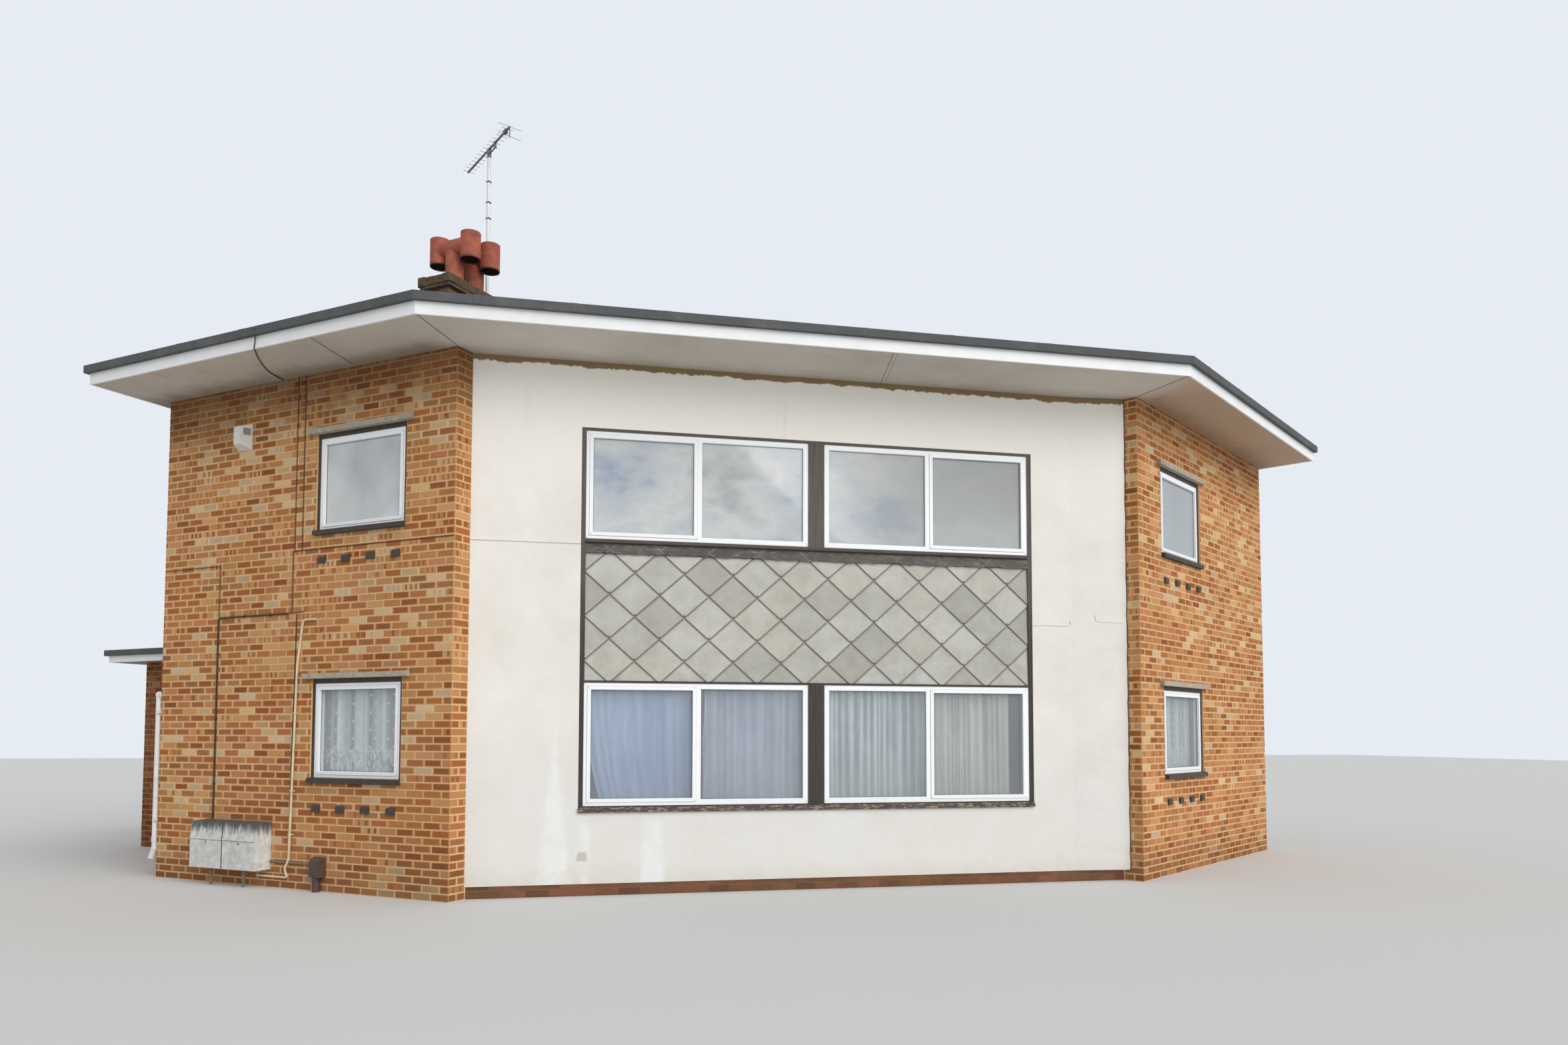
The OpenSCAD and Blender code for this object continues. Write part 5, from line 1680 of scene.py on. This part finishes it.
def render_lap():
    """The render thickens over the right-hand quoin's return, with a ragged dark strip along its edge as
    painted shadow of a gap.
    """
    rng = random.Random(71)
    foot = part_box("corner_plinth")[1][2]
    rows = 60
    heights = [foot + (SOFFIT_Z - 0.004 - foot) * i / rows for i in range(rows + 1)]
    flat = (QUOIN_RETURN + LAP_RUN * SIN, LAP_RUN * COS)
    lap, gap = [], []
    for z in heights:
        s = QUOIN_RETURN - LAP + rng.uniform(-0.004, 0.004)
        dark = s - 0.012 + rng.uniform(-0.003, 0.003)
        lap.append((((s, 0), (s, 0.004), flat, (QUOIN_RETURN, 0)), z))
        # Painted shadow of the gap along the lap's edge
        gap.append((((dark, 0), (dark, 0.0035), (s, 0.0035), (s, 0)), z))
    ragged_strip("render_lap", RIGHT_RETURN, lap).piece("render", "render")
    ragged_strip("render_lap_shadow", RIGHT_RETURN, gap).piece("shade_line", "dark_plastic")


def door_details():
    """Boards and a lever handle on the side store's door."""
    build = Build("door_boards")
    s0, s1 = 0.95, 1.85
    face = -SUB_SET - FRAME_SET
    boards = 8
    for k in range(boards):
        a = s0 + 0.012 + (s1 - s0 - 0.024) * k / boards
        b = s0 + 0.012 + (s1 - s0 - 0.024) * (k + 1) / boards - 0.004
        build.block(STORE_FRONT, (a, b), (face - 0.002, face + 0.006), (0.02, 2.015), 0.003)
    build.piece("door", "painted_door")
    handle = Build("door_handle")
    for s, out, z, chamfer in (
        ((s1 - 0.10, s1 - 0.06), (face + 0.004, face + 0.012), (0.95, 1.12), 0.003),
        ((s1 - 0.19, s1 - 0.07), (face + 0.03, face + 0.045), (1.03, 1.048), 0.004),
        ((s1 - 0.088, s1 - 0.072), (face + 0.01, face + 0.04), (1.032, 1.046), 0.002),
    ):
        handle.block(STORE_FRONT, s, out, z, chamfer)
    handle.piece("zinc", "galvanised")


def dress_nodes():
    """Gives every CAD node its material."""
    groups = {
        "mortar": "left_wing_wall right_wing_wall left_side_wall right_party_wall back_wall chimney_stack",
        "store_mortar": "store_walls",
        "render": "corner_wall",
        "plinth": "corner_plinth",
        "floor_slab": "ground_floor",
        "plaster": "first_floor",
        "soffit": "roof_deck soffit_boards store_roof",
        "fascia": "fascia_boards store_fascia",
        "felt": "felt_roof store_felt",
        "timber": "corner_frame",
        "timber_sill": "corner_sills",
        "stained_timber": "window_sills window_subframes",
        "upvc": (
            "upper_left_window upper_right_window lower_left_window lower_right_window "
            "left_wing_windows right_wing_windows rear_windows store_door_frame"
        ),
        "upper_glass": "upper_corner_glass",
        "glass": "lower_corner_glass",
        "wing_glass": "wing_glass",
        "rear_glass": "rear_glass",
        "slate": "slate_panel",
        "lead": "lead_flashing",
        "hood": "window_hoods",
        "vent": "left_vent_caps right_vent_caps",
        "cap": "chimney_cap",
        "clay": "chimney_pots",
        "zinc": "aerial_mast",
        "aerial": "aerial",
        "door": "store_door",
        "meter": "meter_boxes",
        "leg": "meter_box_legs",
        "alarm": "alarm_box",
        "dark": "brown_pipe",
        "cream": "cream_pipe",
        "cable": "surface_cables",
        "cowl": "low_cowl",
        "white_pipe": "downpipe",
    }
    for material, nodes in groups.items():
        for node in nodes.split():
            for slot in NODES[node].material_slots:
                slot.material = MATERIALS[material]


# Studio


def studio():
    """A plain pale floor and soft light from the sky and from the front right."""
    scene = bpy.context.scene
    scene.view_settings.view_transform = "Standard"
    scene.world = bpy.data.worlds.new("studio")
    scene.world.use_nodes = True
    tree = scene.world.node_tree
    kinds = ("Background", "LightPath", "Math", "Math", "MixShader")
    pale, path, seen, indirect, mix = [tree.nodes.new(f"ShaderNode{kind}") for kind in kinds]
    sky = tree.nodes["Background"]
    for background, colour, strength in ((sky, (0.93, 0.96, 1.0), 0.62), (pale, (0.80, 0.84, 0.90), 1.0)):
        background.inputs[0].default_value = (*colour, 1)
        background.inputs[1].default_value = strength
    seen.operation = indirect.operation = "MAXIMUM"
    for output, target in (
        (path.outputs["Is Camera Ray"], seen.inputs[0]),
        (path.outputs["Is Glossy Ray"], indirect.inputs[0]),
        (path.outputs["Is Transmission Ray"], indirect.inputs[1]),
        (indirect.outputs[0], seen.inputs[1]),
        (seen.outputs[0], mix.inputs[0]),
        (sky.outputs[0], mix.inputs[1]),
        (pale.outputs[0], mix.inputs[2]),
        (mix.outputs[0], tree.nodes["World Output"].inputs[0]),
    ):
        tree.links.new(output, target)
    sun = bpy.data.lights.new("soft_sun", "SUN")
    sun.energy = 1.9
    sun.angle = math.radians(50)
    sun.color = (1.0, 0.985, 0.96)
    holder = bpy.data.objects.new("soft_sun", sun)
    holder.rotation_euler = Vector((-0.55, 0.9, -0.62)).to_track_quat("-Z", "Y").to_euler()
    scene.collection.objects.link(holder)
    size = 60
    verts = [(-size, -size, 0), (size, -size, 0), (size, size, 0), (-size, size, 0)]
    floor = make_object("floor", verts, [(0, 1, 2, 3)])
    floor.data.materials.append(Shader("studio_floor", 0.9, 0.1).done(srgb(214, 214, 212)))


dress_nodes()
lay_bricks()
lay_plinth()
lay_chimney()
crown_chimney()
soot_in_pots()
band_mast()
corner_windows()
wing_window_trim()
hang_slates()
dress_flashing()
hang_corner_curtains()
hang_blinds()
hang_wing_curtains()
felt_seams()
fascia_trim()
soffit_joints()
pipes()
alarm_details()
meter_details()
pipe_clips()
small_cables()
render_lap()
door_details()
studio()
